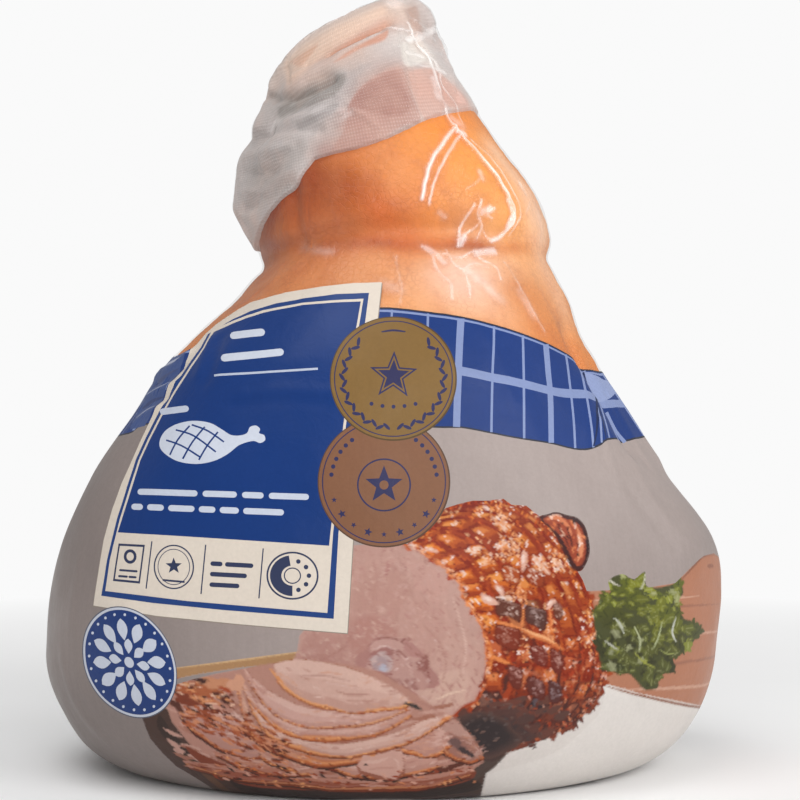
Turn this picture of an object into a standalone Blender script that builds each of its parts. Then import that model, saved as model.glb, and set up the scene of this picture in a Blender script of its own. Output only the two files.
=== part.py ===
"""A half leg ham, shank end up, sealed in a shrink bag that stands on the cut face.

Units are metres in the scene; the tables below are millimetres. +Z is up, the printed front faces -Y.
ham         the bagged leg: one closed form lofted through oval stations, lying flat on its cut face
bone_guard  the cloth cap round the shank end: a closed shell that follows the leg, with a slanting hem
"""

import bmesh
import bpy
import numpy as np

MM = 0.001

# Oval stations of the leg, from the cut face up to the end of the shank:
# height, centre x, centre y, slope of the station (deg, right side up),
# half width left, half width right, half depth front, half depth back, exponent of the oval
STATIONS = np.array([
    [0.0, 0.0, 6.5, 0.0, 119.0, 117.0, 80.0, 68.0, 2.0],
    [20.0, 0.0, 6.5, 0.0, 118.0, 117.0, 83.5, 70.5, 2.1],
    [40.0, 0.0, 6.5, 0.0, 118.5, 118.0, 85.0, 72.0, 2.2],
    [60.0, 0.0, 6.5, 0.0, 117.5, 120.0, 85.0, 72.0, 2.2],
    [80.0, 0.0, 6.5, 0.0, 113.0, 117.5, 83.0, 71.0, 2.2],
    [103.0, 0.0, 6.5, 0.0, 102.5, 100.5, 80.0, 70.0, 2.2],
    [123.0, 0.0, 6.5, 0.0, 89.5, 87.0, 75.0, 67.0, 2.15],
    [139.0, 0.0, 6.5, 0.0, 79.5, 77.0, 70.0, 63.0, 2.1],
    [153.0, 0.0, 7.5, 0.0, 66.5, 71.5, 64.0, 58.0, 2.1],
    [165.0, 0.0, 8.5, 0.0, 53.5, 68.0, 57.0, 53.0, 2.1],
    [176.0, 0.0, 9.5, 0.0, 46.5, 63.0, 52.0, 49.0, 2.1],
    [187.0, 0.0, 9.5, 1.0, 46.0, 62.0, 52.0, 48.0, 2.1],
    [199.0, 0.0, 9.5, 4.0, 45.5, 57.0, 51.0, 47.0, 2.1],
    [213.0, -2.0, 9.5, 9.0, 42.5, 47.0, 48.0, 44.0, 2.1],
    [228.0, -5.0, 9.5, 15.0, 39.0, 38.5, 42.0, 39.0, 2.1],
    [241.0, -8.0, 9.5, 20.0, 34.0, 31.0, 35.0, 33.0, 2.15],
    [253.0, -9.0, 9.5, 24.0, 31.0, 26.5, 28.0, 27.0, 2.2],
    [262.0, -9.5, 9.5, 26.0, 32.0, 25.5, 25.0, 24.0, 2.3],
])
SHANK_TOP = STATIONS[-1, 0]

# Rounding of the wrapped edge at the cut face and at the shank end
BASE_IN_SIDE = 33.0
BASE_IN_FRONT = 17.0
BASE_RISE = 42.0
SHANK_ROUND = 9.0

# Creases and swellings of the leg: height (minus is a crease), radius, path of (angle deg, height)
LEG_RELIEF = [
    (-2.0, 4.5, [(-205, 176), (-150, 178), (-118, 181), (-92, 183), (-62, 184), (-30, 182), (10, 180)]),
    (-1.6, 3.5, [(-133, 203), (-131, 190), (-129, 181)]),
    (-2.6, 5.0, [(-27, 150), (-27, 138), (-28, 126), (-30, 112)]),
    (1.6, 6.0, [(-12, 142), (-12, 126), (-14, 108)]),
]

# The slanting hem of the bone guard: angle deg, height on the leg
HEM = [
    (-180, 185.0), (-165, 189.5), (-154, 194.5), (-141, 199.5), (-130, 205.0), (-120, 212.5), (-109, 212.5),
    (-99, 212.5), (-86, 214.5), (-71, 218.5), (-63, 220.0), (-46, 222.0), (-20, 224.5), (0, 225.0), (25, 223.5),
    (55, 219.0), (85, 212.0), (115, 203.0), (145, 193.0), (165, 187.0),
]
GUARD_GAP = 0.6
GUARD_THICK = 2.0
GUARD_LEAST = 1.3

# Folds of the guard, laid on the outside: height (minus is a valley), radius, path of (angle deg, height)
GUARD_FOLDS = [
    (8.5, 12.0, [(178, 226), (178, 214), (177, 202), (178, 193)]),
    (3.5, 6.0, [(-172, 252), (-170, 244), (-168, 237)]),
    (-2.6, 4.0, [(-176, 232), (-160, 233), (-135, 236), (-110, 240)]),
    (4.2, 7.0, [(-165, 262), (-120, 262), (-80, 262), (-40, 262), (-10, 262)]),
    (-1.8, 3.5, [(-118, 252), (-92, 253), (-66, 256)]),
    (1.6, 4.5, [(-140, 246), (-112, 247), (-88, 249), (-62, 252)]),
    (2.0, 6.0, [(-18, 262), (-12, 252), (-10, 244)]),
    (2.4, 6.5, [(-150, 222), (-132, 226), (-112, 231)]),
    (-1.6, 4.0, [(-152, 206), (-134, 215), (-116, 222)]),
    (2.6, 6.0, [(150, 214), (125, 222), (100, 230)]),
    (-1.6, 4.0, [(140, 226), (110, 236), (80, 244)]),
    (2.2, 6.0, [(40, 232), (60, 242), (85, 250)]),
]

# Facets: steps round, and rows from the cut face to the shank end
ROUND_STEPS = 72
LEG_ROWS = 44
GUARD_ROWS = 28

HAM_COLOR = (0.46, 0.50, 0.58, 1.0)
GUARD_COLOR = (0.80, 0.74, 0.69, 1.0)


def station_value(heights, column):
    """The stations' column, smoothly interpolated at these heights."""
    z = STATIONS[:, 0]
    last = len(z) - 1
    i = np.clip(np.searchsorted(z, heights, side="right") - 1, 0, last - 1)
    u = np.clip((heights - z[i]) / (z[i + 1] - z[i]), 0.0, 1.0)
    step = z[i + 1] - z[i]
    p = STATIONS[:, column]
    before, after = np.maximum(i - 1, 0), np.minimum(i + 2, last)
    slope_in = np.where(i > 0, (p[i + 1] - p[before]) / np.maximum(z[i + 1] - z[before], 1e-9), (p[i + 1] - p[i]) / step)
    slope_out = np.where(i + 1 < last, (p[after] - p[i]) / np.maximum(z[after] - z[i], 1e-9), (p[i + 1] - p[i]) / step)
    u2, u3 = u * u, u * u * u
    return (
        (2 * u3 - 3 * u2 + 1) * p[i]
        + (u3 - 2 * u2 + u) * slope_in * step
        + (3 * u2 - 2 * u3) * p[i + 1]
        + (u3 - u2) * slope_out * step
    )


def oval_point(angle, height, inset):
    """The point of the station at this height and angle, pulled in by inset."""
    cx, cy = station_value(height, 1), station_value(height, 2)
    slope = np.radians(station_value(height, 3))
    left, right, front, back, n = (station_value(height, k) for k in (4, 5, 6, 7, 8))
    c, s = np.cos(angle), np.sin(angle)
    a = np.maximum(np.where(c < 0, left, right) - inset, 0.0)
    b = np.maximum(np.where(s < 0, front, back) - inset, 0.0)
    x = a * np.sign(c) * np.abs(c) ** (2 / n)
    y = b * np.sign(s) * np.abs(s) ** (2 / n)
    return np.stack([cx + x * np.cos(slope), cy + y, height + x * np.sin(slope)], axis=-1)


def leg_wall(angle, height):
    """The side of the leg, with its base and its shank end rounded."""
    base_in = np.hypot(BASE_IN_SIDE * np.cos(angle), BASE_IN_FRONT * np.sin(angle))
    q = np.clip(1 - height / BASE_RISE, 0, 1)
    inset = base_in * (1 - np.sqrt(1 - q * q))
    q = np.clip((height - (SHANK_TOP - SHANK_ROUND)) / SHANK_ROUND, 0, 1)
    inset = inset + SHANK_ROUND * (1 - np.sqrt(1 - q * q))
    return oval_point(angle, height, inset)


def path_points(path):
    """A fold's path, from (angle, height) to points on the leg, with steps between."""
    angles, heights = np.array(path, float).T
    t = np.linspace(0, len(path) - 1, 8 * (len(path) - 1) + 1)
    k = np.arange(len(path))
    return leg_wall(np.radians(np.interp(t, k, angles)), np.interp(t, k, heights))


def relief(points, folds):
    """The sum of the folds at these points, each a soft ridge or valley round its path."""
    total = np.zeros(len(points))
    for height, radius, path in folds:
        steps = path_points(path)
        near = np.min(np.linalg.norm(points[:, None, :] - steps[None, :, :], axis=2), axis=1)
        total += height * np.exp(-((near / radius) ** 2))
    return total


def leg_surface(angle, height, centre_share):
    """Points of the leg; centre_share shrinks a ring towards its centre, for the cut face and the end face."""
    p = leg_wall(angle, height)
    centre = oval_point(angle, height, np.full_like(height, 1e6))
    return centre + (p - centre) * centre_share[:, None]


def outward(angle, height, centre_share):
    """Unit directions away from the leg's surface, by small steps along it."""
    e = 0.02
    ring = leg_wall(angle + e, height) - leg_wall(angle - e, height)
    low = np.maximum(height - 0.5, 0.0)
    high = np.minimum(height + 0.5, SHANK_TOP)
    rise = leg_wall(angle, high) - leg_wall(angle, low)
    n = np.cross(ring, rise)
    n /= np.linalg.norm(n, axis=1)[:, None]
    slope = np.radians(STATIONS[-1, 3])
    cap = np.array([-np.sin(slope), 0.0, np.cos(slope)])
    share = np.clip(centre_share, 0, 1)[:, None]
    on_end = (height >= SHANK_TOP - 1e-6)[:, None]
    n = np.where(on_end, cap + 0.35 * share * n, n)
    return n / np.linalg.norm(n, axis=1)[:, None]


def leg_rows(v):
    """From 0..1 along the outline: the height, and the share of the ring's size."""
    flat, base, side, rim = 1 / 44, 8 / 44, 39 / 44, 42 / 44
    height = np.interp(v, [base, side], [BASE_RISE, SHANK_TOP - SHANK_ROUND])
    q = np.clip((v - flat) / (base - flat), 0, 1)
    height = np.where(v < base, BASE_RISE * (1 - np.cos(q * np.pi / 2)), height)
    q = np.clip((v - side) / (rim - side), 0, 1)
    height = np.where(v > side, SHANK_TOP - SHANK_ROUND + SHANK_ROUND * np.sin(q * np.pi / 2), height)
    share = np.where(v < flat, v / flat, np.where(v > rim, (1 - v) / (1 - rim), 1.0))
    return height, share


def sphere_mesh(rings):
    """A UV sphere, with the angle and the 0..1 row of each of its points."""
    bm = bmesh.new()
    bmesh.ops.create_uvsphere(bm, u_segments=ROUND_STEPS, v_segments=rings, radius=1.0)
    co = np.array([v.co[:] for v in bm.verts])
    angle = np.arctan2(co[:, 1], co[:, 0])
    v = 1 - np.arccos(np.clip(co[:, 2], -1, 1)) / np.pi
    return bm, angle, np.round(v * rings) / rings


def leg_points(angle, v):
    height, share = leg_rows(v)
    p = leg_surface(angle, height, share)
    return p + outward(angle, height, share) * relief(p, LEG_RELIEF)[:, None]


def hem_height(angle):
    """The hem's height on the leg, periodic round it."""
    angles, heights = np.array(HEM, float).T
    angles = np.radians(np.concatenate([angles - 360, angles, angles + 360]))
    return np.interp(angle, angles, np.tile(heights, 3))


def guard_points(angle, v):
    """The shell: rows below 0.5 run over its inside from the end to the hem, rows above over its outside."""
    inside = v < 0.5
    t = np.where(inside, 1 - 2 * v, 2 * v - 1)
    low = hem_height(angle)
    side, rim = 9 / 14, 12 / 14
    height = low + (SHANK_TOP - SHANK_ROUND - low) * np.clip(t / side, 0, 1)
    q = np.clip((t - side) / (rim - side), 0, 1)
    height = np.where(t > side, SHANK_TOP - SHANK_ROUND + SHANK_ROUND * np.sin(q * np.pi / 2), height)
    share = np.where(t > rim, (1 - t) / (1 - rim), 1.0)
    p = leg_surface(angle, height, share)
    n = outward(angle, height, share)
    thick = np.maximum(GUARD_THICK + relief(p, GUARD_FOLDS), GUARD_LEAST)
    thick = np.where(v == 0.5, thick * 0.55, thick)
    return p + n * np.where(inside, GUARD_GAP, GUARD_GAP + thick)[:, None]


def make_object(name, rings, shape, color, roughness):
    bm, angle, v = sphere_mesh(rings)
    points = shape(angle, v) * MM
    for vert, co in zip(bm.verts, points):
        vert.co = co
    bmesh.ops.recalc_face_normals(bm, faces=bm.faces)
    if bm.calc_volume(signed=True) < 0:
        bmesh.ops.reverse_faces(bm, faces=bm.faces)
    mesh = bpy.data.meshes.new(name)
    bm.to_mesh(mesh)
    bm.free()
    for face in mesh.polygons:
        face.use_smooth = True
    obj = bpy.data.objects.new(name, mesh)
    bpy.context.scene.collection.objects.link(obj)
    material = bpy.data.materials.new(name)
    material.use_nodes = True
    shader = material.node_tree.nodes["Principled BSDF"]
    shader.inputs["Base Color"].default_value = color
    shader.inputs["Roughness"].default_value = roughness
    mesh.materials.append(material)
    return obj


def centre_over_origin(objects):
    """Moves the meshes so that the whole stands with its footprint's middle on the origin."""
    points = np.array([v.co[:] for obj in objects for v in obj.data.vertices])
    low, high = points.min(axis=0), points.max(axis=0)
    shift = -np.array([(low[0] + high[0]) / 2, (low[1] + high[1]) / 2, low[2]])
    for obj in objects:
        for vert in obj.data.vertices:
            vert.co = np.array(vert.co[:]) + shift


def main():
    for obj in list(bpy.data.objects):
        bpy.data.objects.remove(obj, do_unlink=True)
    ham = make_object("ham", LEG_ROWS, leg_points, HAM_COLOR, 0.25)
    guard = make_object("bone_guard", GUARD_ROWS, guard_points, GUARD_COLOR, 0.6)
    centre_over_origin([ham, guard])


main()
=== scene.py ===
"""Looks of the bagged half leg ham: skin and bone guard under clear film, and the printed film drawn over the leg.

Every surface repeats the leg's stations from the CAD. The print is laid out on the film's own plane (angle round the
leg, way up the wall) as regions of plain colour and simple shapes, and cut into the film by a triangulation.
"""

import math

import bpy
import numpy as np
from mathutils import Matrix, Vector, kdtree
from mathutils.geometry import delaunay_2d_cdt


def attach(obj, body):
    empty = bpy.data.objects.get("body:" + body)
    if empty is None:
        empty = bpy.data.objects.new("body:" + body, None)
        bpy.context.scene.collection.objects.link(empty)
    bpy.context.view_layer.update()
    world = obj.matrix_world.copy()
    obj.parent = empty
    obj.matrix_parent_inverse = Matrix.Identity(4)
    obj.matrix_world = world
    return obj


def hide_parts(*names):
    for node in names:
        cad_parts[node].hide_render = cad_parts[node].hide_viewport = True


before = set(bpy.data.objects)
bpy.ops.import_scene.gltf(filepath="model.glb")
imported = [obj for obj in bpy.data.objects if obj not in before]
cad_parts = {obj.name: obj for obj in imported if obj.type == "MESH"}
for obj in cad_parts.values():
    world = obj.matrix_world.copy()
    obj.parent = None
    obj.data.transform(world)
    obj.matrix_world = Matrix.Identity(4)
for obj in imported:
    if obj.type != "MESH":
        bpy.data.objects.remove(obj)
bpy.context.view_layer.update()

MM = 0.001
RNG = np.random.default_rng(11)

# ---------------------------------------------------------------------------------------------- the leg's form (mm)
STATIONS = np.array([
    [0.0, 0.0, 6.5, 0.0, 119.0, 117.0, 80.0, 68.0, 2.0],
    [20.0, 0.0, 6.5, 0.0, 118.0, 117.0, 83.5, 70.5, 2.1],
    [40.0, 0.0, 6.5, 0.0, 118.5, 118.0, 85.0, 72.0, 2.2],
    [60.0, 0.0, 6.5, 0.0, 117.5, 120.0, 85.0, 72.0, 2.2],
    [80.0, 0.0, 6.5, 0.0, 113.0, 117.5, 83.0, 71.0, 2.2],
    [103.0, 0.0, 6.5, 0.0, 102.5, 100.5, 80.0, 70.0, 2.2],
    [123.0, 0.0, 6.5, 0.0, 89.5, 87.0, 75.0, 67.0, 2.15],
    [139.0, 0.0, 6.5, 0.0, 79.5, 77.0, 70.0, 63.0, 2.1],
    [153.0, 0.0, 7.5, 0.0, 66.5, 71.5, 64.0, 58.0, 2.1],
    [165.0, 0.0, 8.5, 0.0, 53.5, 68.0, 57.0, 53.0, 2.1],
    [176.0, 0.0, 9.5, 0.0, 46.5, 63.0, 52.0, 49.0, 2.1],
    [187.0, 0.0, 9.5, 1.0, 46.0, 62.0, 52.0, 48.0, 2.1],
    [199.0, 0.0, 9.5, 4.0, 45.5, 57.0, 51.0, 47.0, 2.1],
    [213.0, -2.0, 9.5, 9.0, 42.5, 47.0, 48.0, 44.0, 2.1],
    [228.0, -5.0, 9.5, 15.0, 39.0, 38.5, 42.0, 39.0, 2.1],
    [241.0, -8.0, 9.5, 20.0, 34.0, 31.0, 35.0, 33.0, 2.15],
    [253.0, -9.0, 9.5, 24.0, 31.0, 26.5, 28.0, 27.0, 2.2],
    [262.0, -9.5, 9.5, 26.0, 32.0, 25.5, 25.0, 24.0, 2.3],
])
SHANK_TOP = STATIONS[-1, 0]
BASE_IN_SIDE, BASE_IN_FRONT, BASE_RISE, SHANK_ROUND = 33.0, 17.0, 42.0, 9.0
LEG_RELIEF = [
    (-2.0, 4.5, [(-205, 176), (-150, 178), (-118, 181), (-92, 183), (-62, 184), (-30, 182), (10, 180)]),
    (-1.6, 3.5, [(-133, 203), (-131, 190), (-129, 181)]),
    (-2.6, 5.0, [(-27, 150), (-27, 138), (-28, 126), (-30, 112)]),
    (1.6, 6.0, [(-12, 142), (-12, 126), (-14, 108)]),
]
HEM = [
    (-180, 185.0), (-165, 189.5), (-154, 194.5), (-141, 199.5), (-130, 205.0), (-120, 212.5), (-109, 212.5),
    (-99, 212.5), (-86, 214.5), (-71, 218.5), (-63, 220.0), (-46, 222.0), (-20, 224.5), (0, 225.0), (25, 223.5),
    (55, 219.0), (85, 212.0), (115, 203.0), (145, 193.0), (165, 187.0),
]


def station_value(heights, column):
    z = STATIONS[:, 0]
    last = len(z) - 1
    i = np.clip(np.searchsorted(z, heights, side="right") - 1, 0, last - 1)
    u = np.clip((heights - z[i]) / (z[i + 1] - z[i]), 0.0, 1.0)
    step = z[i + 1] - z[i]
    p = STATIONS[:, column]
    before, after = np.maximum(i - 1, 0), np.minimum(i + 2, last)
    slope_in = np.where(i > 0, (p[i + 1] - p[before]) / np.maximum(z[i + 1] - z[before], 1e-9), (p[i + 1] - p[i]) / step)
    slope_out = np.where(i + 1 < last, (p[after] - p[i]) / np.maximum(z[after] - z[i], 1e-9), (p[i + 1] - p[i]) / step)
    u2, u3 = u * u, u * u * u
    return (
        (2 * u3 - 3 * u2 + 1) * p[i]
        + (u3 - 2 * u2 + u) * slope_in * step
        + (3 * u2 - 2 * u3) * p[i + 1]
        + (u3 - u2) * slope_out * step
    )


def oval_point(angle, height, inset):
    cx, cy = station_value(height, 1), station_value(height, 2)
    slope = np.radians(station_value(height, 3))
    left, right, front, back, n = (station_value(height, k) for k in (4, 5, 6, 7, 8))
    c, s = np.cos(angle), np.sin(angle)
    a = np.maximum(np.where(c < 0, left, right) - inset, 0.0)
    b = np.maximum(np.where(s < 0, front, back) - inset, 0.0)
    x = a * np.sign(c) * np.abs(c) ** (2 / n)
    y = b * np.sign(s) * np.abs(s) ** (2 / n)
    return np.stack([cx + x * np.cos(slope), cy + y, height + x * np.sin(slope)], axis=-1)


def leg_wall(angle, height):
    base_in = np.hypot(BASE_IN_SIDE * np.cos(angle), BASE_IN_FRONT * np.sin(angle))
    q = np.clip(1 - height / BASE_RISE, 0, 1)
    inset = base_in * (1 - np.sqrt(1 - q * q))
    q = np.clip((height - (SHANK_TOP - SHANK_ROUND)) / SHANK_ROUND, 0, 1)
    inset = inset + SHANK_ROUND * (1 - np.sqrt(np.maximum(1 - q * q, 0)))
    return oval_point(angle, height, inset)


# The film's own plane, in mm: u round the leg (-90 deg is the front), v up the wall from the edge of the cut face.
ANGLE_MM = 1.45
FOOT = 55.0


def height_of(v):
    foot = BASE_RISE * (1 - np.cos(np.clip(v, 0, FOOT) / FOOT * np.pi / 2))
    return np.where(v < FOOT, foot, BASE_RISE + v - FOOT)


def v_of(height):
    height = np.asarray(height, float)
    foot = FOOT * 2 / np.pi * np.arccos(np.clip(1 - height / BASE_RISE, 0, 1))
    return np.where(height < BASE_RISE, foot, FOOT + height - BASE_RISE)


V_TOP = FOOT + SHANK_TOP - BASE_RISE
END_V = 30.0
CUT_V = 60.0


def plain(uv):
    """Points of the leg's smooth wall for places on the film's plane. Past V_TOP they run in over the end face, and below 0 over the cut face."""
    angle = np.radians(uv[:, 0] / ANGLE_MM)
    height = np.clip(height_of(uv[:, 1]), 0, SHANK_TOP)
    height = np.where(uv[:, 1] < 0, 0.0, height)
    share = np.where(uv[:, 1] > V_TOP, 1 - (uv[:, 1] - V_TOP) / END_V, np.where(uv[:, 1] < 0, 1 + uv[:, 1] / CUT_V, 1.0))
    p = leg_wall(angle, height)
    centre = oval_point(angle, height, np.full_like(height, 1e6))
    return centre + (p - centre) * np.clip(share, 0.0, 1.0)[:, None]


def out_of(uv):
    """Unit directions out of the smooth wall."""
    e = np.array([0.1, 0.0])
    f = np.array([0.0, 0.1])
    q = uv.copy()
    q[:, 1] = np.clip(q[:, 1], -CUT_V + 0.5, V_TOP + END_V - 0.5)
    n = np.cross(plain(q + e) - plain(q - e), plain(q + f) - plain(q - f))
    return n / np.maximum(np.linalg.norm(n, axis=1), 1e-12)[:, None]


def curve(path, steps=10, closed=False):
    """A smooth run of points through these ones."""
    path = np.array(path, float)
    n = len(path)
    spans = n if closed else n - 1
    t = np.linspace(0, spans, steps * spans + 1)[: -1 if closed else None]
    i = np.minimum(t.astype(int), spans - 1)
    u = (t - i)[:, None]
    if closed:
        p0, p1, p2, p3 = path[(i - 1) % n], path[i], path[(i + 1) % n], path[(i + 2) % n]
    else:
        p0, p1, p2, p3 = path[np.maximum(i - 1, 0)], path[i], path[i + 1], path[np.minimum(i + 2, n - 1)]
    return 0.5 * (2 * p1 + (p2 - p0) * u + (2 * p0 - 5 * p1 + 4 * p2 - p3) * u**2 + (3 * p1 - p0 - 3 * p2 + p3) * u**3)


def along(path, steps=10):
    """A path of (angle, height), smoothly filled in, as points in mm on the wall."""
    path = np.array(path, float)
    q = curve(path, steps)
    return leg_wall(np.radians(q[:, 0]), np.clip(q[:, 1], 0, SHANK_TOP - 1e-3))


def distance_to(points, steps, reach=30.0):
    """Distance of each point from a run of segments, only worked out within reach of it."""
    found = np.full(len(points), 1e3)
    low, high = steps.min(axis=0) - reach, steps.max(axis=0) + reach
    near = np.where(((points > low) & (points < high)).all(axis=1))[0]
    if not len(near):
        return found
    p = points[near]
    best = np.full(len(p), 1e3)
    for a, b in zip(steps[:-1], steps[1:]):
        d = b - a
        t = np.clip(((p - a) @ d) / max(d @ d, 1e-9), 0, 1)
        best = np.minimum(best, np.linalg.norm(p - a - t[:, None] * d, axis=1))
    found[near] = best
    return found


def relief(points, folds):
    total = np.zeros(len(points))
    for height, radius, path in folds:
        steps = path if isinstance(path, np.ndarray) else along(path)
        total += height * np.exp(-((distance_to(points, steps, 3 * radius) / radius) ** 2))
    return total


def lattice_noise(p, size, seed=0):
    """Smooth value noise, -1..1, of features about this size, for points in mm."""
    q = p / size + seed * 17.31
    cell = np.floor(q).astype(np.int64)
    f = q - cell
    f = f * f * f * (f * (f * 6 - 15) + 10)
    total = 0.0
    for dx in (0, 1):
        for dy in (0, 1):
            for dz in (0, 1):
                h = (cell[:, 0] + dx) * 374761393 + (cell[:, 1] + dy) * 668265263 + (cell[:, 2] + dz) * 2147483647 + seed * 974711
                h = (h ^ (h >> 13)) * 1274126177
                h = ((h ^ (h >> 16)) & 0xFFFFFF) / 0xFFFFFF * 2 - 1
                wx = f[:, 0] if dx else 1 - f[:, 0]
                wy = f[:, 1] if dy else 1 - f[:, 1]
                wz = f[:, 2] if dz else 1 - f[:, 2]
                total = total + h * wx * wy * wz
    return total


def smooth_step(x, low, high):
    t = np.clip((x - low) / (high - low), 0, 1)
    return t * t * (3 - 2 * t)


# ---------------------------------------------------------------------------------------------- the photograph's view
CAMERA_AT = np.array([0.0, -493.5, 100.0])
FOCAL_PX = 1373.6
YAW, PITCH = math.atan(17 / FOCAL_PX), math.atan(80 / FOCAL_PX)
AHEAD = np.array([math.sin(YAW) * math.cos(PITCH), math.cos(YAW) * math.cos(PITCH), math.sin(PITCH)])
RIGHT = np.array([math.cos(YAW), -math.sin(YAW), 0.0])
UP = np.cross(RIGHT, AHEAD)


def seen(points):
    """Where points in mm fall in the 800 x 800 frame."""
    d = points - CAMERA_AT
    w = d @ AHEAD
    return np.stack([400 + FOCAL_PX * (d @ RIGHT) / w, 400 - FOCAL_PX * (d @ UP) / w], axis=-1)


def make_lookup():
    u, v = np.meshgrid(np.linspace(-196, 16, 425) * ANGLE_MM, np.linspace(0.2, v_of(SHANK_TOP) - 0.5, 520))
    uv = np.stack([u.ravel(), v.ravel()], axis=-1)
    p = plain(uv)
    facing = ((CAMERA_AT - p) * out_of(uv)).sum(axis=1) > 0
    uv, px = uv[facing], seen(p[facing])
    tree = kdtree.KDTree(len(uv))
    for i, (x, y) in enumerate(px):
        tree.insert((x, y, 0.0), i)
    tree.balance()
    return uv, px, tree


LOOKUP_UV, LOOKUP_PX, LOOKUP = make_lookup()


def on_film(px):
    """Places on the film's plane that the camera sees at these points of the frame."""
    px = np.atleast_2d(np.array(px, float))
    index = np.array([LOOKUP.find((x, y, 0.0))[1] for x, y in px])
    uv, start = LOOKUP_UV[index].copy(), LOOKUP_UV[index]
    for _ in range(4):
        at = seen(plain(uv))
        e = 0.2
        du = (seen(plain(uv + [e, 0])) - at) / e
        dv = (seen(plain(uv + [0, e])) - at) / e
        det = du[:, 0] * dv[:, 1] - du[:, 1] * dv[:, 0]
        det = np.where(np.abs(det) < 0.02, 0.02 * np.sign(det + 1e-12), det)
        r = px - at
        step = np.stack([(r[:, 0] * dv[:, 1] - r[:, 1] * dv[:, 0]) / det, (du[:, 0] * r[:, 1] - du[:, 1] * r[:, 0]) / det], axis=-1)
        uv = np.clip(uv + np.clip(step, -2, 2), start - 3, start + 3)
        uv[:, 1] = np.clip(uv[:, 1], 0.01, v_of(SHANK_TOP) - 0.5)
    return uv


def on_wall(px, steps=6, wobble=0.0):
    """A smooth path seen in the frame, as points in mm on the wall."""
    p = curve(px, steps)
    if wobble:
        p = p + wobble * np.stack([np.sin(p[:, 1] * 0.42 + p[0, 0]), np.sin(p[:, 0] * 0.37 + p[0, 1])], axis=-1) + RNG.normal(0, 0.25 * wobble, p.shape)
    return plain(on_film(p))


# ---------------------------------------------------------------------------------------------- the film's relief
GUARD_THICK = 2.0
GUARD_FOLDS = [
    (8.5, 12.0, [(178, 226), (178, 214), (177, 202), (178, 193)]),
    (3.5, 6.0, [(-172, 252), (-170, 244), (-168, 237)]),
    (-2.6, 4.0, [(-176, 232), (-160, 233), (-135, 236), (-110, 240)]),
    (4.2, 7.0, [(-165, 262), (-120, 262), (-80, 262), (-40, 262), (-10, 262)]),
    (-1.8, 3.5, [(-118, 252), (-92, 253), (-66, 256)]),
    (1.6, 4.5, [(-140, 246), (-112, 247), (-88, 249), (-62, 252)]),
    (2.0, 6.0, [(-18, 262), (-12, 252), (-10, 244)]),
    (2.4, 6.5, [(-150, 222), (-132, 226), (-112, 231)]),
    (-1.6, 4.0, [(-152, 206), (-134, 215), (-116, 222)]),
    (2.6, 6.0, [(150, 214), (125, 222), (100, 230)]),
    (-1.6, 4.0, [(140, 226), (110, 236), (80, 244)]),
    (2.2, 6.0, [(40, 232), (60, 242), (85, 250)]),
]


def hem_height(angle_deg):
    angles, heights = np.array(HEM, float).T
    angles = np.concatenate([angles - 360, angles, angles + 360])
    return np.interp(angle_deg, angles, np.tile(heights, 3))


# Fine folds of the cloth, as the camera sees them: height, radius, path in the frame
CLOTH_FOLDS = [
    (h, r, on_wall(p))
    for h, r, p in [
        (-1.5, 1.7, [(270, 103), (292, 102), (312, 96), (335, 84)]),
        (-1.2, 1.6, [(334, 60), (350, 50), (368, 40), (386, 29)]),
        (0.9, 1.8, [(300, 82), (325, 66), (350, 56), (376, 44)]),
        (0.7, 1.2, [(398, 40), (403, 62), (410, 90), (415, 114)]),
        (0.6, 1.2, [(345, 104), (356, 114), (368, 122), (380, 131)]),
        (-0.8, 1.3, [(300, 118), (318, 112), (336, 104)]),
        (0.8, 1.6, [(282, 128), (300, 124), (320, 120), (345, 116)]),
        (-1.0, 1.6, [(262, 140), (280, 138), (300, 134), (322, 132)]),
        (0.9, 1.8, [(250, 158), (272, 156), (296, 150)]),
        (-1.1, 1.8, [(244, 176), (262, 176), (282, 172)]),
        (0.9, 2.0, [(240, 192), (256, 194), (272, 192)]),
        (-0.9, 1.6, [(240, 210), (252, 212), (264, 208)]),
        (1.0, 1.6, [(284, 62), (285, 76), (284, 92)]),
        (-0.8, 1.3, [(292, 60), (294, 76), (298, 90)]),
        (0.8, 1.4, [(414, 12), (420, 28), (424, 44)]),
        (-0.8, 1.3, [(404, 14), (408, 32), (414, 50)]),
        (0.6, 1.2, [(430, 48), (444, 70), (452, 92), (462, 106)]),
        (-0.5, 1.1, [(422, 56), (434, 76), (442, 98), (448, 112)]),
        (0.5, 1.3, [(360, 86), (380, 78), (396, 70)]),
        (-0.5, 1.2, [(352, 76), (372, 66), (392, 58)]),
    ]
]

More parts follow.
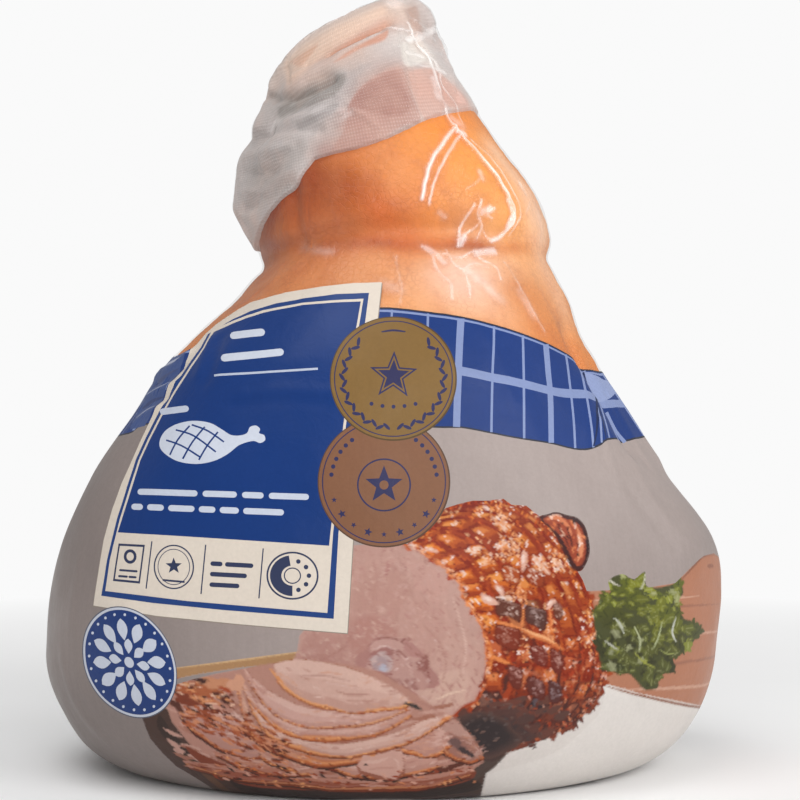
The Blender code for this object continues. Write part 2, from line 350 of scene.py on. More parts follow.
# Wrinkles of the clear film over skin and cloth, as the camera sees them
CLEAR_FOLDS = [
    (h, r, on_wall(p, 6, 0.35))
    for h, r, p in [
        (0.75, 1.2, [(402, 30), (410, 48), (424, 64), (432, 84), (440, 104), (452, 126)]),
        (0.85, 1.1, [(455, 127), (443, 143), (431, 162), (425, 182), (422, 199)]),
        (0.6, 0.9, [(461, 133), (450, 150), (439, 170), (432, 190), (429, 204)]),
        (0.85, 1.2, [(455, 130), (471, 146), (489, 167), (505, 190), (514, 214), (508, 232), (492, 241)]),
        (0.5, 0.9, [(470, 140), (492, 160), (512, 190), (520, 214), (512, 236)]),
        (0.62, 1.0, [(474, 204), (470, 212), (464, 222), (460, 236), (458, 246)]),
        (0.62, 1.0, [(481, 200), (478, 214), (484, 226), (478, 238)]),
        (0.6, 1.0, [(494, 208), (488, 214), (482, 212), (492, 218)]),
        (0.55, 1.0, [(458, 240), (470, 232), (480, 224)]),
        (0.5, 0.9, [(484, 228), (492, 240), (498, 238)]),
        (0.45, 1.0, [(466, 190), (474, 184), (480, 178)]),
        (0.45, 1.0, [(524, 186), (530, 198), (526, 212)]),
        (0.6, 1.1, [(422, 246), (432, 256), (437, 270), (450, 284), (452, 300)]),
        (0.5, 0.9, [(446, 250), (452, 262), (466, 276), (470, 296)]),
        (0.55, 0.9, [(474, 252), (484, 262), (496, 268), (500, 280)]),
        (0.5, 0.9, [(440, 252), (458, 258), (478, 250), (496, 254)]),
        (0.45, 0.9, [(462, 270), (474, 264), (488, 268)]),
        (0.45, 1.0, [(504, 262), (518, 284), (532, 310), (544, 332)]),
        (0.4, 1.1, [(396, 256), (398, 272), (402, 288), (400, 304)]),
        (-0.7, 1.0, [(306, 198), (305, 214), (307, 230), (306, 246)]),
        (0.3, 1.3, [(330, 196), (334, 214), (340, 232)]),
        (0.5, 1.0, [(404, 22), (418, 34), (430, 40), (444, 52)]),
        (0.5, 1.0, [(384, 34), (398, 40), (412, 38), (426, 46)]),
        (0.45, 1.0, [(396, 54), (410, 50), (424, 58), (438, 60)]),
        (0.5, 1.0, [(420, 56), (432, 70), (440, 92), (452, 104), (462, 124)]),
        (0.4, 0.9, [(432, 78), (444, 84), (452, 96)]),
        (0.3, 1.4, [(240, 300), (262, 284), (284, 272), (306, 264)]),
        (0.3, 1.2, [(216, 322), (236, 306), (262, 296)]),
        (0.3, 1.6, [(520, 250), (536, 282), (552, 316), (566, 344)]),
    ]
] + [
    (0.20 + 0.08 * math.sin(k * 2.3), 0.9, on_wall([(x, 238 + 3 * math.sin(k * 1.9)), (x + 2 * math.sin(k), 248), (x + 3 * math.cos(k * 1.7), 255 + 4 * math.sin(k))]))
    for k, x in enumerate([325, 331, 342, 350, 363, 371, 384, 390, 404, 418, 426, 441, 452, 470, 483, 499, 512, 530])
]

# Wrinkles of the printed film
PRINT_FOLDS = [
    (h, r, on_wall(p))
    for h, r, p in [
        (0.9, 1.8, [(160, 372), (172, 366), (190, 352)]),
        (-0.8, 1.6, [(154, 384), (168, 378), (184, 366)]),
        (0.8, 1.6, [(147, 396), (160, 390), (176, 382)]),
        (-0.7, 1.6, [(140, 410), (152, 402), (166, 398)]),
        (0.6, 1.8, [(134, 424), (146, 414), (158, 408)]),
        (0.5, 2.2, [(212, 338), (204, 356), (198, 374)]),
        (-0.4, 2.4, [(222, 338), (214, 360), (206, 382)]),
        (0.35, 2.6, [(240, 396), (280, 392), (330, 394)]),
        (-0.3, 2.4, [(236, 404), (280, 400), (326, 402)]),
        (0.4, 2.2, [(600, 400), (612, 420), (626, 446), (640, 474)]),
        (-0.5, 2.0, [(606, 392), (620, 416), (634, 440), (648, 466)]),
        (0.5, 2.0, [(600, 420), (606, 444), (612, 470)]),
        (0.4, 2.4, [(583, 372), (588, 400), (592, 430), (594, 455)]),
        (0.45, 2.6, [(640, 480), (660, 510), (680, 534), (700, 548)]),
        (-0.4, 2.6, [(632, 492), (652, 520), (674, 546)]),
        (0.3, 3.0, [(600, 490), (612, 520), (618, 556)]),
        (0.4, 2.6, [(62, 660), (70, 690), (84, 716), (104, 738)]),
        (0.3, 2.6, [(78, 560), (74, 590), (70, 622)]),
        (-0.35, 2.2, [(138, 600), (160, 606), (190, 611)]),
        (0.3, 2.6, [(480, 330), (500, 360), (510, 400)]),
    ]
]


def cloth_share(uv):
    """0 under the hem to 1 on the guard, over the cloth's rounded edge."""
    over = uv[:, 1] - v_of(hem_height(uv[:, 0] / ANGLE_MM))
    return smooth_step(over, -0.6, 1.1), over


def guard_offset(uv, p):
    """How far the cloth's outside stands out from the leg's wall: it lies close at the hem, and hangs proud on the left flank."""
    thick = 0.6 + np.maximum(GUARD_THICK + relief(p, GUARD_FOLDS), 1.3)
    angle = (uv[:, 0] / ANGLE_MM + 360) % 360 - 360
    left = np.exp(-(((angle + 184) / 26) ** 2))
    over = np.maximum(uv[:, 1] - v_of(hem_height(uv[:, 0] / ANGLE_MM)), 0)
    most = 0.45 + 1.0 * left + over * (0.20 + 0.34 * left)
    return np.where(most < thick, most - 0.25 * np.exp(-(((most - thick) / 0.6) ** 2)), thick - 0.25 * np.exp(-(((most - thick) / 0.6) ** 2)))


def cloth_folds(p, over):
    fine = relief(p, CLOTH_FOLDS) + 0.10 * lattice_noise(p, 2.6, 5) + 0.30 * lattice_noise(p, 6.5, 6)
    return fine * smooth_step(over, 0, 8)


def film_offset(uv, p):
    """How far the bag's film stands out from the leg's smooth wall."""
    off = relief(p, LEG_RELIEF)
    share, over = cloth_share(uv)
    drape = smooth_step(over, -1.6, 0.6)
    on = over > -4
    if on.any():
        q = p[on]
        off[on] += drape[on] * (guard_offset(uv[on], q) + 0.25 + cloth_folds(q, over[on]))
    clear = smooth_step(uv[:, 1], 150, 172)
    some = clear > 0
    if some.any():
        q = p[some]
        crumple = 0.07 * lattice_noise(q, 3.0, 1) + 0.22 * lattice_noise(q, 11.0, 2)
        off[some] += relief(q, CLEAR_FOLDS) + clear[some] * crumple
    some = uv[:, 1] < 172
    if some.any():
        q = p[some]
        off[some] += (1 - clear[some]) * (0.30 * lattice_noise(q, 16.0, 3) + 0.05 * lattice_noise(q, 5.0, 4)) + relief(q, PRINT_FOLDS)
    return off * smooth_step(uv[:, 1], 0, 26)


def film_point(uv):
    p = plain(uv)
    return p + out_of(uv) * film_offset(uv, p)[:, None]


def film_normal(uv):
    e, f = np.array([0.25, 0.0]), np.array([0.0, 0.25])
    q = uv.copy()
    q[:, 1] = np.clip(q[:, 1], -CUT_V + 1, V_TOP + END_V - 1)
    n = np.cross(film_point(q + e) - film_point(q - e), film_point(q + f) - film_point(q - f))
    return n / np.maximum(np.linalg.norm(n, axis=1), 1e-12)[:, None]


# ---------------------------------------------------------------------------------------------- the print's regions
def ink(r, g, b):
    """A printed colour as linear light."""
    c = np.array([r, g, b]) / 255
    return np.where(c <= 0.04045, c / 12.92, ((c + 0.055) / 1.055) ** 2.4)


SHAPES = []  # regions cut into the film: [group, colour, outline, True if the outline is in the frame's pixels], bottom first
PAINT = []  # strokes of the printed roast, which colour the points inside its regions


def shape(group, colour, outline, in_frame=True, cut=False):
    outline = np.array(outline, float)
    if group != "picture" or cut:
        SHAPES.append([group, ink(*colour), outline, in_frame])
    if group == "picture":
        PAINT.append([group, ink(*colour), outline, in_frame])


def filled_in(points, step=4.0, closed=True):
    points = [np.array(p, float) for p in points]
    if closed:
        points.append(points[0])
    out = []
    for a, b in zip(points[:-1], points[1:]):
        n = max(1, int(math.ceil(np.linalg.norm(b - a) / step)))
        out += [a + (b - a) * i / n for i in range(n)]
    if not closed:
        out.append(points[-1])
    return np.array(out)


def loop(points, steps=4):
    return curve(points, steps, closed=True)


def shrink_ring(ring, share):
    ring = np.array(ring, float)
    return ring.mean(axis=0) + (ring - ring.mean(axis=0)) * share


def ribbon(points, width, ends=(1.0, 1.0), steps=5, smooth=True):
    """A stroke's outline: width in the middle, and that share of it at each end."""
    p = curve(points, steps) if smooth and len(points) > 2 else filled_in(points, 4.0, closed=False)
    d = np.gradient(p, axis=0)
    d /= np.maximum(np.linalg.norm(d, axis=1), 1e-9)[:, None]
    side = np.stack([-d[:, 1], d[:, 0]], axis=-1)
    t = np.linspace(0, 1, len(p))
    share = np.where(t < 0.5, ends[0] + (1 - ends[0]) * np.sin(t * np.pi), ends[1] + (1 - ends[1]) * np.sin(t * np.pi))
    w = width / 2 * share[:, None]
    return np.concatenate([p + side * w, (p - side * w)[::-1]])


def round_ring(centre, rx, ry, turn=0.0, count=72, wobble=0.0, seed=0):
    a = np.linspace(0, 2 * np.pi, count, endpoint=False)
    r = 1 + wobble * (np.sin(3 * a + seed) * 0.5 + np.sin(5 * a + 1.7 * seed) * 0.3 + np.sin(2 * a + 2.3 * seed) * 0.4)
    x, y = rx * r * np.cos(a), ry * r * np.sin(a)
    c, s = math.cos(turn), math.sin(turn)
    return np.stack([centre[0] + x * c - y * s, centre[1] + x * s + y * c], axis=-1)


def capsule(a, b, height):
    """A rounded bar from a to b."""
    a, b = np.array(a, float), np.array(b, float)
    d = (b - a) / max(np.linalg.norm(b - a), 1e-9)
    n = np.array([-d[1], d[0]])
    r = height / 2
    turn = np.linspace(np.pi / 2, 3 * np.pi / 2, 7)
    left = a + d * r + r * (np.cos(turn)[:, None] * d + np.sin(turn)[:, None] * n)
    right = b - d * r - r * (np.cos(turn)[:, None] * d + np.sin(turn)[:, None] * n)
    return filled_in(np.concatenate([left, right]), 4.0)


def star(centre, r, turn=0.0, shear=0.0):
    a = np.arange(10) * np.pi / 5 - np.pi / 2 + turn
    rr = np.where(np.arange(10) % 2 == 0, r, r * 0.42)
    return filled_in(np.stack([centre[0] + rr * np.cos(a), centre[1] + rr * np.sin(a) + shear * rr * np.cos(a)], axis=-1), 3.0)


# the band's edges, as (angle, height)
BAND_TOP = [
    (-270, 141), (-230, 139), (-195, 139), (-180, 139.4), (-166.5, 139.9), (-160, 142.6), (-150.3, 143.7), (-135, 146.5),
    (-112, 152), (-98, 155), (-90.6, 155.3), (-86.1, 154.9), (-78.7, 153.9), (-70.6, 152.7), (-61.6, 150.4), (-52.5, 147.9),
    (-44.8, 145.5), (-36.2, 142.6), (-24.9, 138.9), (-14, 137.5), (0, 137.5), (30, 139), (60, 140.5), (90, 141),
]
BAND_FOOT = [
    (-270, 113), (-230, 114), (-195, 115), (-170, 115), (-153, 115.4), (-147.3, 118.2), (-125, 118), (-100, 117),
    (-80.6, 116.0), (-76.4, 116.1), (-70.6, 114.5), (-64.2, 112.6), (-58, 111.3), (-52.3, 109.7), (-48.3, 109.6), (-44, 111),
    (-38.3, 113.2), (-20.3, 114.1), (0, 114), (30, 113.5), (60, 113), (90, 113),
]


def edge_line(points, lift=0.0, low=-270.0, high=90.0, step=1.5):
    """A run round the leg at these (angle, height) places, on the film's plane."""
    angle = np.linspace(low, high, int((high - low) / step) + 1)
    a, h = np.array(points, float).T
    s = np.concatenate([[0], np.cumsum(np.diff(a))])
    fine = curve(np.array(points, float), 6)
    heights = np.interp(angle, fine[:, 0], fine[:, 1])
    return np.stack([angle * ANGLE_MM, v_of(heights + lift)], axis=-1)


def between(lower, upper):
    return np.concatenate([lower, upper[::-1]])


U_LOW, U_HIGH = -270 * ANGLE_MM, 90 * ANGLE_MM
band_top, band_foot = edge_line(BAND_TOP), edge_line(BAND_FOOT)
foot_line = np.stack([np.linspace(U_LOW, U_HIGH, 181), np.full(181, 0.0)], axis=-1)

# grey ground, the thin dark line at each edge of the band, and the band
GREY = (172, 158, 153)
shape("ground", GREY, between(foot_line, band_foot), False)
shape("band", (52, 54, 66), between(band_foot, band_top), False)
shape("band", (30, 60, 126), between(edge_line(BAND_FOOT, 0.55), edge_line(BAND_TOP, -0.55)), False)

# the check's pale colour, and a thin pale line of it just under the band's top edge
BAR = (138, 153, 196)
for low, high in [(-92, 90), (-270, -147)]:
    line = edge_line(BAND_TOP, -1.6, low, high)
    shape("band", BAR, between(line, line + [0, 0.75]), False)
# the check's thick level bar
def bar_height(angle):
    top = np.interp(angle, *np.array(BAND_TOP, float).T)
    foot = np.interp(angle, *np.array(BAND_FOOT, float).T)
    return foot + (top - foot) * 0.505


for low, high, wide in [(-92, -31, 3.0), (-31, 90, 2.7), (-270, -147, 2.7)]:
    angle = np.linspace(low, high, int((high - low) / 2) + 1)
    mid = np.stack([angle * ANGLE_MM, v_of(bar_height(angle))], axis=-1)
    shape("band", BAR, between(mid - [0, wide / 2], mid + [0, wide / 2]), False)

CHECK_LINES = [  # seen from the front: path in the frame, width in pixels
    ([(392, 310), (391.6, 318)], 2.2),
    ([(428, 313.5), (427.6, 332)], 2.4),
    ([(461, 318.5), (459.5, 345), (458.5, 371), (457.5, 398), (456.5, 427)], 7.2),
    ([(494, 326.5), (493.3, 352), (492.6, 380), (492, 408), (491.6, 432)], 2.4),
    ([(522.7, 335.5), (523.2, 360), (523.6, 388), (523.8, 414), (524, 438.5)], 2.4),
    ([(545.6, 344.5), (547.8, 370), (549.8, 392), (550.8, 418), (551, 443)], 5.6),
    ([(566, 354.5), (569, 376), (571.5, 396), (573.6, 420), (575.4, 448)], 2.2),
    ([(580, 363.5), (583.5, 384), (587, 402), (590, 424), (592.5, 448)], 2.0),
    ([(587.5, 368.5), (591.5, 382), (595.5, 396)], 3.6),
    ([(597, 398), (598.5, 412), (599.8, 428), (601, 443)], 1.8),
    ([(600, 400), (603.5, 412), (606, 424), (609, 438)], 1.8),
    ([(605.5, 404), (610, 415), (614.5, 427), (620, 439)], 1.8),
    ([(611.5, 409), (617, 419), (623, 429), (630, 439)], 1.8),
]
for path, wide in CHECK_LINES:
    shape("band", BAR, ribbon(path, wide, smooth=len(path) > 2))
for k in range(14):
    for start, sense in ((-14.0, 1), (-152.0, -1)):
        angle = start + sense * 8.6 * k
        if not (-269 < angle < 89):
            continue
        heights = np.linspace(np.interp(angle, *np.array(BAND_FOOT, float).T) + 0.6, np.interp(angle, *np.array(BAND_TOP, float).T) - 0.6, 8)
        wide = 2.4 if k % 3 == 0 else 0.8
        line = np.stack([np.full(8, angle * ANGLE_MM), v_of(heights)], axis=-1)
        shape("band", BAR, between(line - [wide / 2, 0], line + [wide / 2, 0]), False)
# the pale pinch in the film by the right crease, unprinted film whitened by a painted reflection, and painted shade
# along the crease's dark fold
shape("band", (150, 164, 205), filled_in([(589.5, 370), (598, 377), (607, 387), (614, 397), (607, 399), (598, 397), (595, 388)]))
shape("band", (30, 44, 84), ribbon([(588.5, 369), (593, 382), (597, 396), (597, 412), (596, 430), (592.5, 447)], 2.6, (0.3, 0.5)))
shape("band", (32, 50, 96), ribbon([(598, 402), (601, 414), (603, 428), (605, 441)], 2.0, (0.3, 0.3)))

# the crumpled end of the band left of the label, in paler blue with light and dark stripes: painted sheen and painted
# shade of the crumples over the band's print
shape("band", (70, 90, 142), filled_in([(190, 349), (176, 356), (162, 364), (150, 384), (140, 404), (131, 430), (145, 426), (154, 410), (166, 390), (178, 370)]))
for path, wide, colour in [
    ([(158, 372), (172, 362), (188, 353)], 2.2, (176, 182, 206)),
    ([(152, 386), (164, 376), (178, 368)], 2.0, (70, 84, 130)),
    ([(147, 396), (158, 388), (170, 382)], 2.0, (166, 174, 202)),
    ([(141, 408), (152, 400), (163, 396)], 2.2, (64, 78, 124)),
    ([(137, 418), (147, 410), (156, 406)], 1.8, (158, 166, 196)),
]:
    shape("band", colour, ribbon(path, wide, (0.2, 0.2)))

# ------------------------------------------------------------------------------------------------- the printed roast
def mix(a, b, t):
    return tuple(np.array(a) + (np.array(b) - np.array(a)) * t)


# the wooden board's far end and the table, at the right, carried on past the edge that the camera sees
WOOD, TABLE = (180, 122, 94), (226, 219, 213)


def on_side(points):
    return curve(np.array(points + points[:1], float), 5)[:-1]


shape("picture", TABLE, filled_in([(-60, 0), (-60, 26), (-30, 42), (-10, 45), (8, 43), (24, 38), (38, 29), (48, 18), (53, 8), (54, 0.0)], 2.5), False, True)
for k in range(5):
    shape("picture", mix((196, 184, 176), TABLE, k / 5), filled_in([(-30, 42 - k), (0, 42 - k), (15, 40 - k), (18, 44), (10, 50), (-30, 50)], 3.0), False)
shape("picture", mix(WOOD, (120, 76, 60), 0.5), on_side([(-21, 84.8), (-4, 83.6), (6, 80), (13, 73), (16, 63), (15, 53), (9, 45), (0, 41.6), (-21, 40.6)]), False, True)
shape("picture", WOOD, on_side([(-21, 84.2), (-4, 83.0), (5.6, 79.4), (12.2, 72.6), (15.2, 63), (14.2, 54), (8.6, 46.6), (0, 43.4), (-21, 42.4)]), False)
for k, (v0, v1) in enumerate([(76, 75), (69, 69), (63, 62.4), (56, 55), (50, 49)]):
    shape("picture", (158, 106, 84) if k % 2 else (205, 158, 134), ribbon([(-20, v0), (-2, v0 - 0.3), (8 + 3 * (k % 2), v1)], 1.0, (0.8, 0.1)), False)
shape("picture", WOOD, filled_in([
    (560, 592), (586, 591), (613, 590), (645, 588), (675, 583), (690, 568), (703, 556), (714, 553), (722, 559), (736, 562), (752, 566),
    (752, 640), (745, 712), (700, 716), (650, 705), (600, 706), (560, 690)]), cut=True)
for k, (x0, y0, x1, y1) in enumerate([(588, 600, 700, 596), (600, 606, 720, 604), (610, 640, 740, 628), (606, 672, 742, 652), (620, 690, 735, 682)]):
    shape("picture", (158, 106, 84) if k % 2 else (205, 158, 134), ribbon([(x0, y0), ((x0 + x1) / 2, (y0 + y1) / 2 + 2), (x1, y1)], 3.0, (0.1, 0.1)))
shape("picture", (140, 92, 72), ribbon([(676, 585), (690, 570), (703, 557), (715, 554)], 2.0, (0.4, 0.4)))
shape("picture", (150, 98, 76), round_ring((711, 566), 3.2, 2.2))
# pale table below the board, where the photograph is cut away
shape("picture", TABLE, filled_in([
    (480, 762), (500, 744), (545, 725), (585, 696), (606, 684), (640, 694), (700, 706), (742, 690), (748, 640), (790, 640), (790, 700), (760, 740),
    (735, 775), (700, 799), (600, 799), (480, 799)]), cut=True)
for k in range(7):
    shape("picture", mix((190, 178, 170), TABLE, k / 7), loop([
        (470, 772 + k), (505, 757 + 2 * k), (555, 738 + 2.4 * k), (590, 708 + 2.6 * k), (602, 690 + 2.6 * k), (606, 668), (590, 672), (550, 720), (500, 745), (466, 760)]))
shape("picture", (146, 98, 78), ribbon([(604, 685.5), (640, 695.5), (700, 707.5), (722, 700)], 2.6, (0.2, 0.5)))

# the board's near side, left, and the shadow beneath the slices
shape("picture", (78, 57, 50), filled_in([
    (141, 716), (150, 738), (163, 754), (176, 767), (208, 786), (225, 799), (480, 799), (486, 775), (470, 740), (300, 690), (180, 690), (163, 694), (150, 703)]), cut=True)
shape("picture", (106, 74, 56), ribbon([(163, 727), (176, 742), (190, 758), (209, 777), (228, 792)], 6.0, (0.5, 0.7)))
shape("picture", (62, 47, 42), loop([(160, 715), (175, 735), (196, 752), (225, 768), (215, 774), (195, 762), (174, 746), (158, 728)]))
shape("picture", (58, 44, 40), loop([(228, 768), (280, 778), (350, 786), (440, 786), (470, 778), (478, 790), (400, 799), (300, 799), (240, 790)]))
# the board's top edge behind the slices
shape("picture", (172, 131, 92), filled_in([(172, 668), (240, 659), (308, 650), (312, 660), (284, 663), (240, 668), (196, 675), (172, 680)]), cut=True)
shape("picture", (205, 166, 122), ribbon([(174, 668), (240, 660), (306, 651)], 2.2, (0.6, 0.6)))

shape("picture", (80, 64, 58), filled_in([(436, 708), (470, 690), (500, 700), (520, 740), (494, 768), (476, 780), (450, 776)]), cut=True)

def ring_holds(ring, at):
    """Whether this outline holds this place."""
    a, b = np.array(ring, float), np.roll(np.array(ring, float), -1, axis=0)
    with np.errstate(divide="ignore", invalid="ignore"):
        cross = ((a[:, 1] > at[1]) != (b[:, 1] > at[1])) & (at[0] < (b[:, 0] - a[:, 0]) * (at[1] - a[:, 1]) / (b[:, 1] - a[:, 1]) + a[:, 0])
    return cross.sum() % 2 == 1


# the cut face
PINK = (190, 148, 136)
face = [
    (353, 545), (400, 543), (414, 545.5), (426, 555.7), (444, 566), (452.4, 576), (460.6, 584.3), (462.7, 596.5), (472.9, 610.8), (483, 629),
    (486, 653.7), (485, 676), (477, 700.6), (462, 708), (450, 720), (440, 722), (428, 712), (400, 715), (360, 705), (320, 690), (298, 672), (297, 650),
    (299, 636), (305, 628), (340, 632), (347, 630),
]
shape("picture", PINK, filled_in(face), cut=True)
for centre, rx, ry, turn, colour in [
    ((420, 580), 36, 18, 0.5, (194, 150, 138)), ((455, 650), 26, 44, 0.1, (196, 155, 142)), ((448, 690), 28, 20, -0.2, (202, 164, 149)),
    ((385, 600), 30, 34, 0.2, (184, 140, 128)), ((340, 655), 40, 22, 0.1, (181, 135, 124)), ((372, 640), 28, 26, 0.4, (178, 129, 118)),
    ((420, 630), 20, 34, 0.0, (190, 147, 135)), ((318, 668), 22, 16, 0.2, (176, 128, 117)), ((462, 612), 12, 26, -0.4, (192, 152, 140)),
]:
    for k in range(5):
        shape("picture", mix(PINK, colour, (k + 1) / 5), round_ring(centre, rx * (1.14 - 0.07 * k), ry * (1.14 - 0.07 * k), turn, 40, 0.14, rx + 0.4 * k))
for _ in range(900):
    at = (RNG.uniform(300, 488), RNG.uniform(545, 716))
    if not ring_holds(face, at):
        continue
    tone = mix((190, 148, 136), [(208, 172, 158), (168, 118, 108), (198, 158, 148), (180, 128, 120)][RNG.integers(4)], RNG.uniform(0.25, 0.7))
    shape("picture", tone, round_ring(at, RNG.uniform(1.4, 5.0), RNG.uniform(0.6, 1.3), RNG.normal(1.2, 0.5), 8, 0.3, at[0]))
for path, wide, colour in [
    ([(372, 552), (376, 580), (372, 606), (378, 628)], 1.6, (180, 134, 122)),
    ([(398, 549), (404, 574), (414, 600), (420, 622)], 1.5, (182, 138, 126)),
    ([(386, 560), (388, 566), (385, 578)], 1.8, (164, 104, 98)),
    ([(420, 622), (438, 640), (446, 664), (440, 690)], 1.8, (180, 134, 122)),
    ([(352, 630), (346, 645), (330, 656), (312, 664)], 1.6, (170, 122, 112)),
    ([(330, 636), (324, 650), (306, 660)], 1.3, (176, 128, 118)),
    ([(452, 596), (460, 620), (466, 648), (462, 680)], 1.4, (214, 178, 164)),
    ([(436, 700), (450, 694), (466, 690)], 2.0, (222, 188, 168)),
]:
    shape("picture", colour, ribbon(path, wide, (0.1, 0.1)))
# muscle round the bone
for centre, rx, ry, turn, colour, seed in [
    ((397, 664), 38, 25, 0.45, (170, 122, 114), 1), ((395, 661), 32, 20, 0.4, (190, 148, 138), 2), ((403, 671), 25, 16, 0.6, (160, 112, 104), 3),
    ((399, 667), 20, 12, 0.5, (184, 142, 132), 4), ((382, 661), 13, 13, 0.2, (160, 110, 104), 5), ((382, 662), 10.5, 10.5, 0.2, (186, 160, 156), 6),
    ((381, 664), 7.5, 7, 0.2, (168, 142, 142), 7), ((383, 668), 4.5, 3.6, 0.2, (176, 172, 184), 8), ((412, 650), 10, 6, 0.8, (176, 128, 120), 9),
    ((421, 680), 11, 6, 1.0, (182, 138, 128), 11), ((408, 694), 13, 6, 0.5, (172, 124, 114), 12), ((424, 664), 6, 8, 0.3, (152, 100, 92), 13),
]:
    shape("picture", colour, round_ring(centre, rx, ry, turn, 36, 0.22, seed))
for path, wide, colour in [
    ([(368, 648), (376, 640), (390, 638), (402, 642), (412, 650)], 1.6, (148, 98, 90)),
    ([(414, 652), (424, 660), (428, 672), (430, 684)], 1.8, (142, 88, 80)),
    ([(360, 668), (370, 682), (386, 692), (402, 697)], 1.6, (148, 100, 92)),
    ([(390, 650), (402, 656), (410, 668), (414, 682)], 1.3, (206, 168, 158)),
    ([(374, 650), (384, 646), (396, 650)], 1.4, (212, 180, 172)),
    ([(400, 676), (408, 686), (418, 694), (432, 702)], 1.4, (206, 168, 156)),
    ([(398, 700), (414, 704), (430, 714)], 2.2, (86, 66, 64)),
]:
    shape("picture", colour, ribbon(path, wide, (0.15, 0.15)))
for _ in range(60):
    x, y = 396 + RNG.normal(0, 17), 666 + RNG.normal(0, 14)
    shape("picture", [(208, 174, 166), (150, 98, 92), (190, 150, 142)][RNG.integers(3)], round_ring((x, y), RNG.uniform(0.8, 2.2), RNG.uniform(0.6, 1.2), RNG.uniform(0, 3), 8))

# the scored crust: blocks between grooves, laid between the cut face's edge and the joint's far side
CRUST_NEAR = np.array([(404, 548), (418, 549), (430, 558), (444, 567), (453, 577), (461, 586), (463, 598), (473, 612), (483, 630), (486, 654), (485, 676), (478, 700), (470, 722), (476, 745)], float)
CRUST_FAR = np.array([(446, 508), (487, 500), (520, 505), (545, 520), (562, 540), (575, 562), (586, 584), (595, 612), (603, 640), (606, 662), (603, 684), (592, 704), (566, 728), (510, 752)], float)
CRUST_RING = [
    (404, 548), (420, 530), (446, 508), (460, 503.5), (473, 500.6), (487, 500.6), (503.5, 498.6), (511.6, 504.7), (526, 505.7), (540, 517), (556.5, 535), (571, 560),
    (583, 580), (595, 612), (605.5, 648), (606, 676), (596, 700), (573, 724), (540, 741), (500, 756), (489, 762), (474, 745), (462, 722), (452, 716), (462, 706), (477, 700),
    (485, 676), (486, 654), (483, 629), (473, 611), (462.7, 596.5), (460.6, 584), (452, 576), (444, 566), (426, 556), (414, 545.5),
]
shape("picture", (160, 62, 30), filled_in(CRUST_RING), cut=True)
shape("picture", (118, 62, 46), loop([(486, 710), (510, 700), (545, 698), (580, 696), (596, 690), (590, 704), (570, 724), (530, 745), (498, 754), (480, 742), (470, 724)]))
NEAR_FINE, FAR_FINE = curve(CRUST_NEAR, 10), curve(CRUST_FAR, 10)


def on_crust(s, t):
    """A place on the crust in the frame: s across from the cut face, t down the joint."""
    k = np.clip(np.asarray(t, float), 0, 1) * (len(NEAR_FINE) - 1)
    i = np.minimum(k.astype(int), len(NEAR_FINE) - 2)
    f = (k - i)[..., None]
    a = NEAR_FINE[i] * (1 - f) + NEAR_FINE[i + 1] * f
    b = FAR_FINE[i] * (1 - f) + FAR_FINE[i + 1] * f
    s = np.asarray(s, float)
    swell = (1 - np.cos(np.clip(s, 0, 1) * np.pi / 2))[..., None] * 0.0 + np.sin(np.clip(s, 0, 1) * np.pi / 2)[..., None]
    return a + (b - a) * swell


def crust_block(s0, s1, t0, t1, shrink=0.0, wobble=0.0, per_side=3):
    s0, s1 = s0 + shrink * (s1 - s0), s1 - shrink * (s1 - s0)
    t0, t1 = t0 + shrink * (t1 - t0), t1 - shrink * (t1 - t0)
    u = np.arange(per_side) / per_side
    s = np.concatenate([s0 + (s1 - s0) * u, np.full(per_side, s1), s1 - (s1 - s0) * u, np.full(per_side, s0)])
    t = np.concatenate([np.full(per_side, t0), t0 + (t1 - t0) * u, np.full(per_side, t1), t1 - (t1 - t0) * u])
    q = on_crust(s, t)
    centre = q.mean(axis=0)
    corner = np.zeros(4 * per_side)
    corner[::per_side] = 0.10
    q = centre + (q - centre) * (1 - corner + RNG.normal(0, wobble, 4 * per_side))[:, None]
    return q


RIBS = [0.0, 0.14, 0.29, 0.45, 0.60, 0.73, 0.84, 0.93, 1.0]
CHARRED = [(511, 614, 15), (531, 620, 16), (557, 606, 9), (480, 541, 8), (541, 655, 7), (566, 636, 8), (538, 702, 13), (552, 694, 9)]
GLOSSY = [(508, 552, 14), (534, 566, 16), (536, 596, 12), (513, 585, 13), (553, 560, 9), (508, 603, 9), (482, 552, 8), (505, 522, 9), (563, 590, 8), (510, 546, 15), (560, 566, 10), (494, 560, 8)]


def nearness(at, places):
    return max(max(0.0, 1 - math.hypot(at[0] - x, at[1] - y) / r) for x, y, r in places)


def on_rib(s, t):
    return on_crust(np.array([float(s)]), np.array([float(t)]))[0]


def speck(at, long, wide, turn, colour):
    shape("picture", colour, round_ring(at, long, wide, turn, 8, 0.3, at[0]))


def shade_of(s, t):
    """How deep in the joint's own shade: 0 to 1, and how far that goes to grey near the cut face."""
    x, y = on_rib(s, t)
    low = float(np.clip((y - 666) / 42, 0, 1))
    return low, low * float(np.clip((y - 700) / 20, 0, 1) * np.clip((534 - x) / 30, 0, 1))


def redness(s, t):
    """How far the glaze has gone from orange to red-brown: 0 at the joint's top, 1 near its foot."""
    return float(np.clip((on_rib(s, t)[1] - 616) / 46, 0, 1))


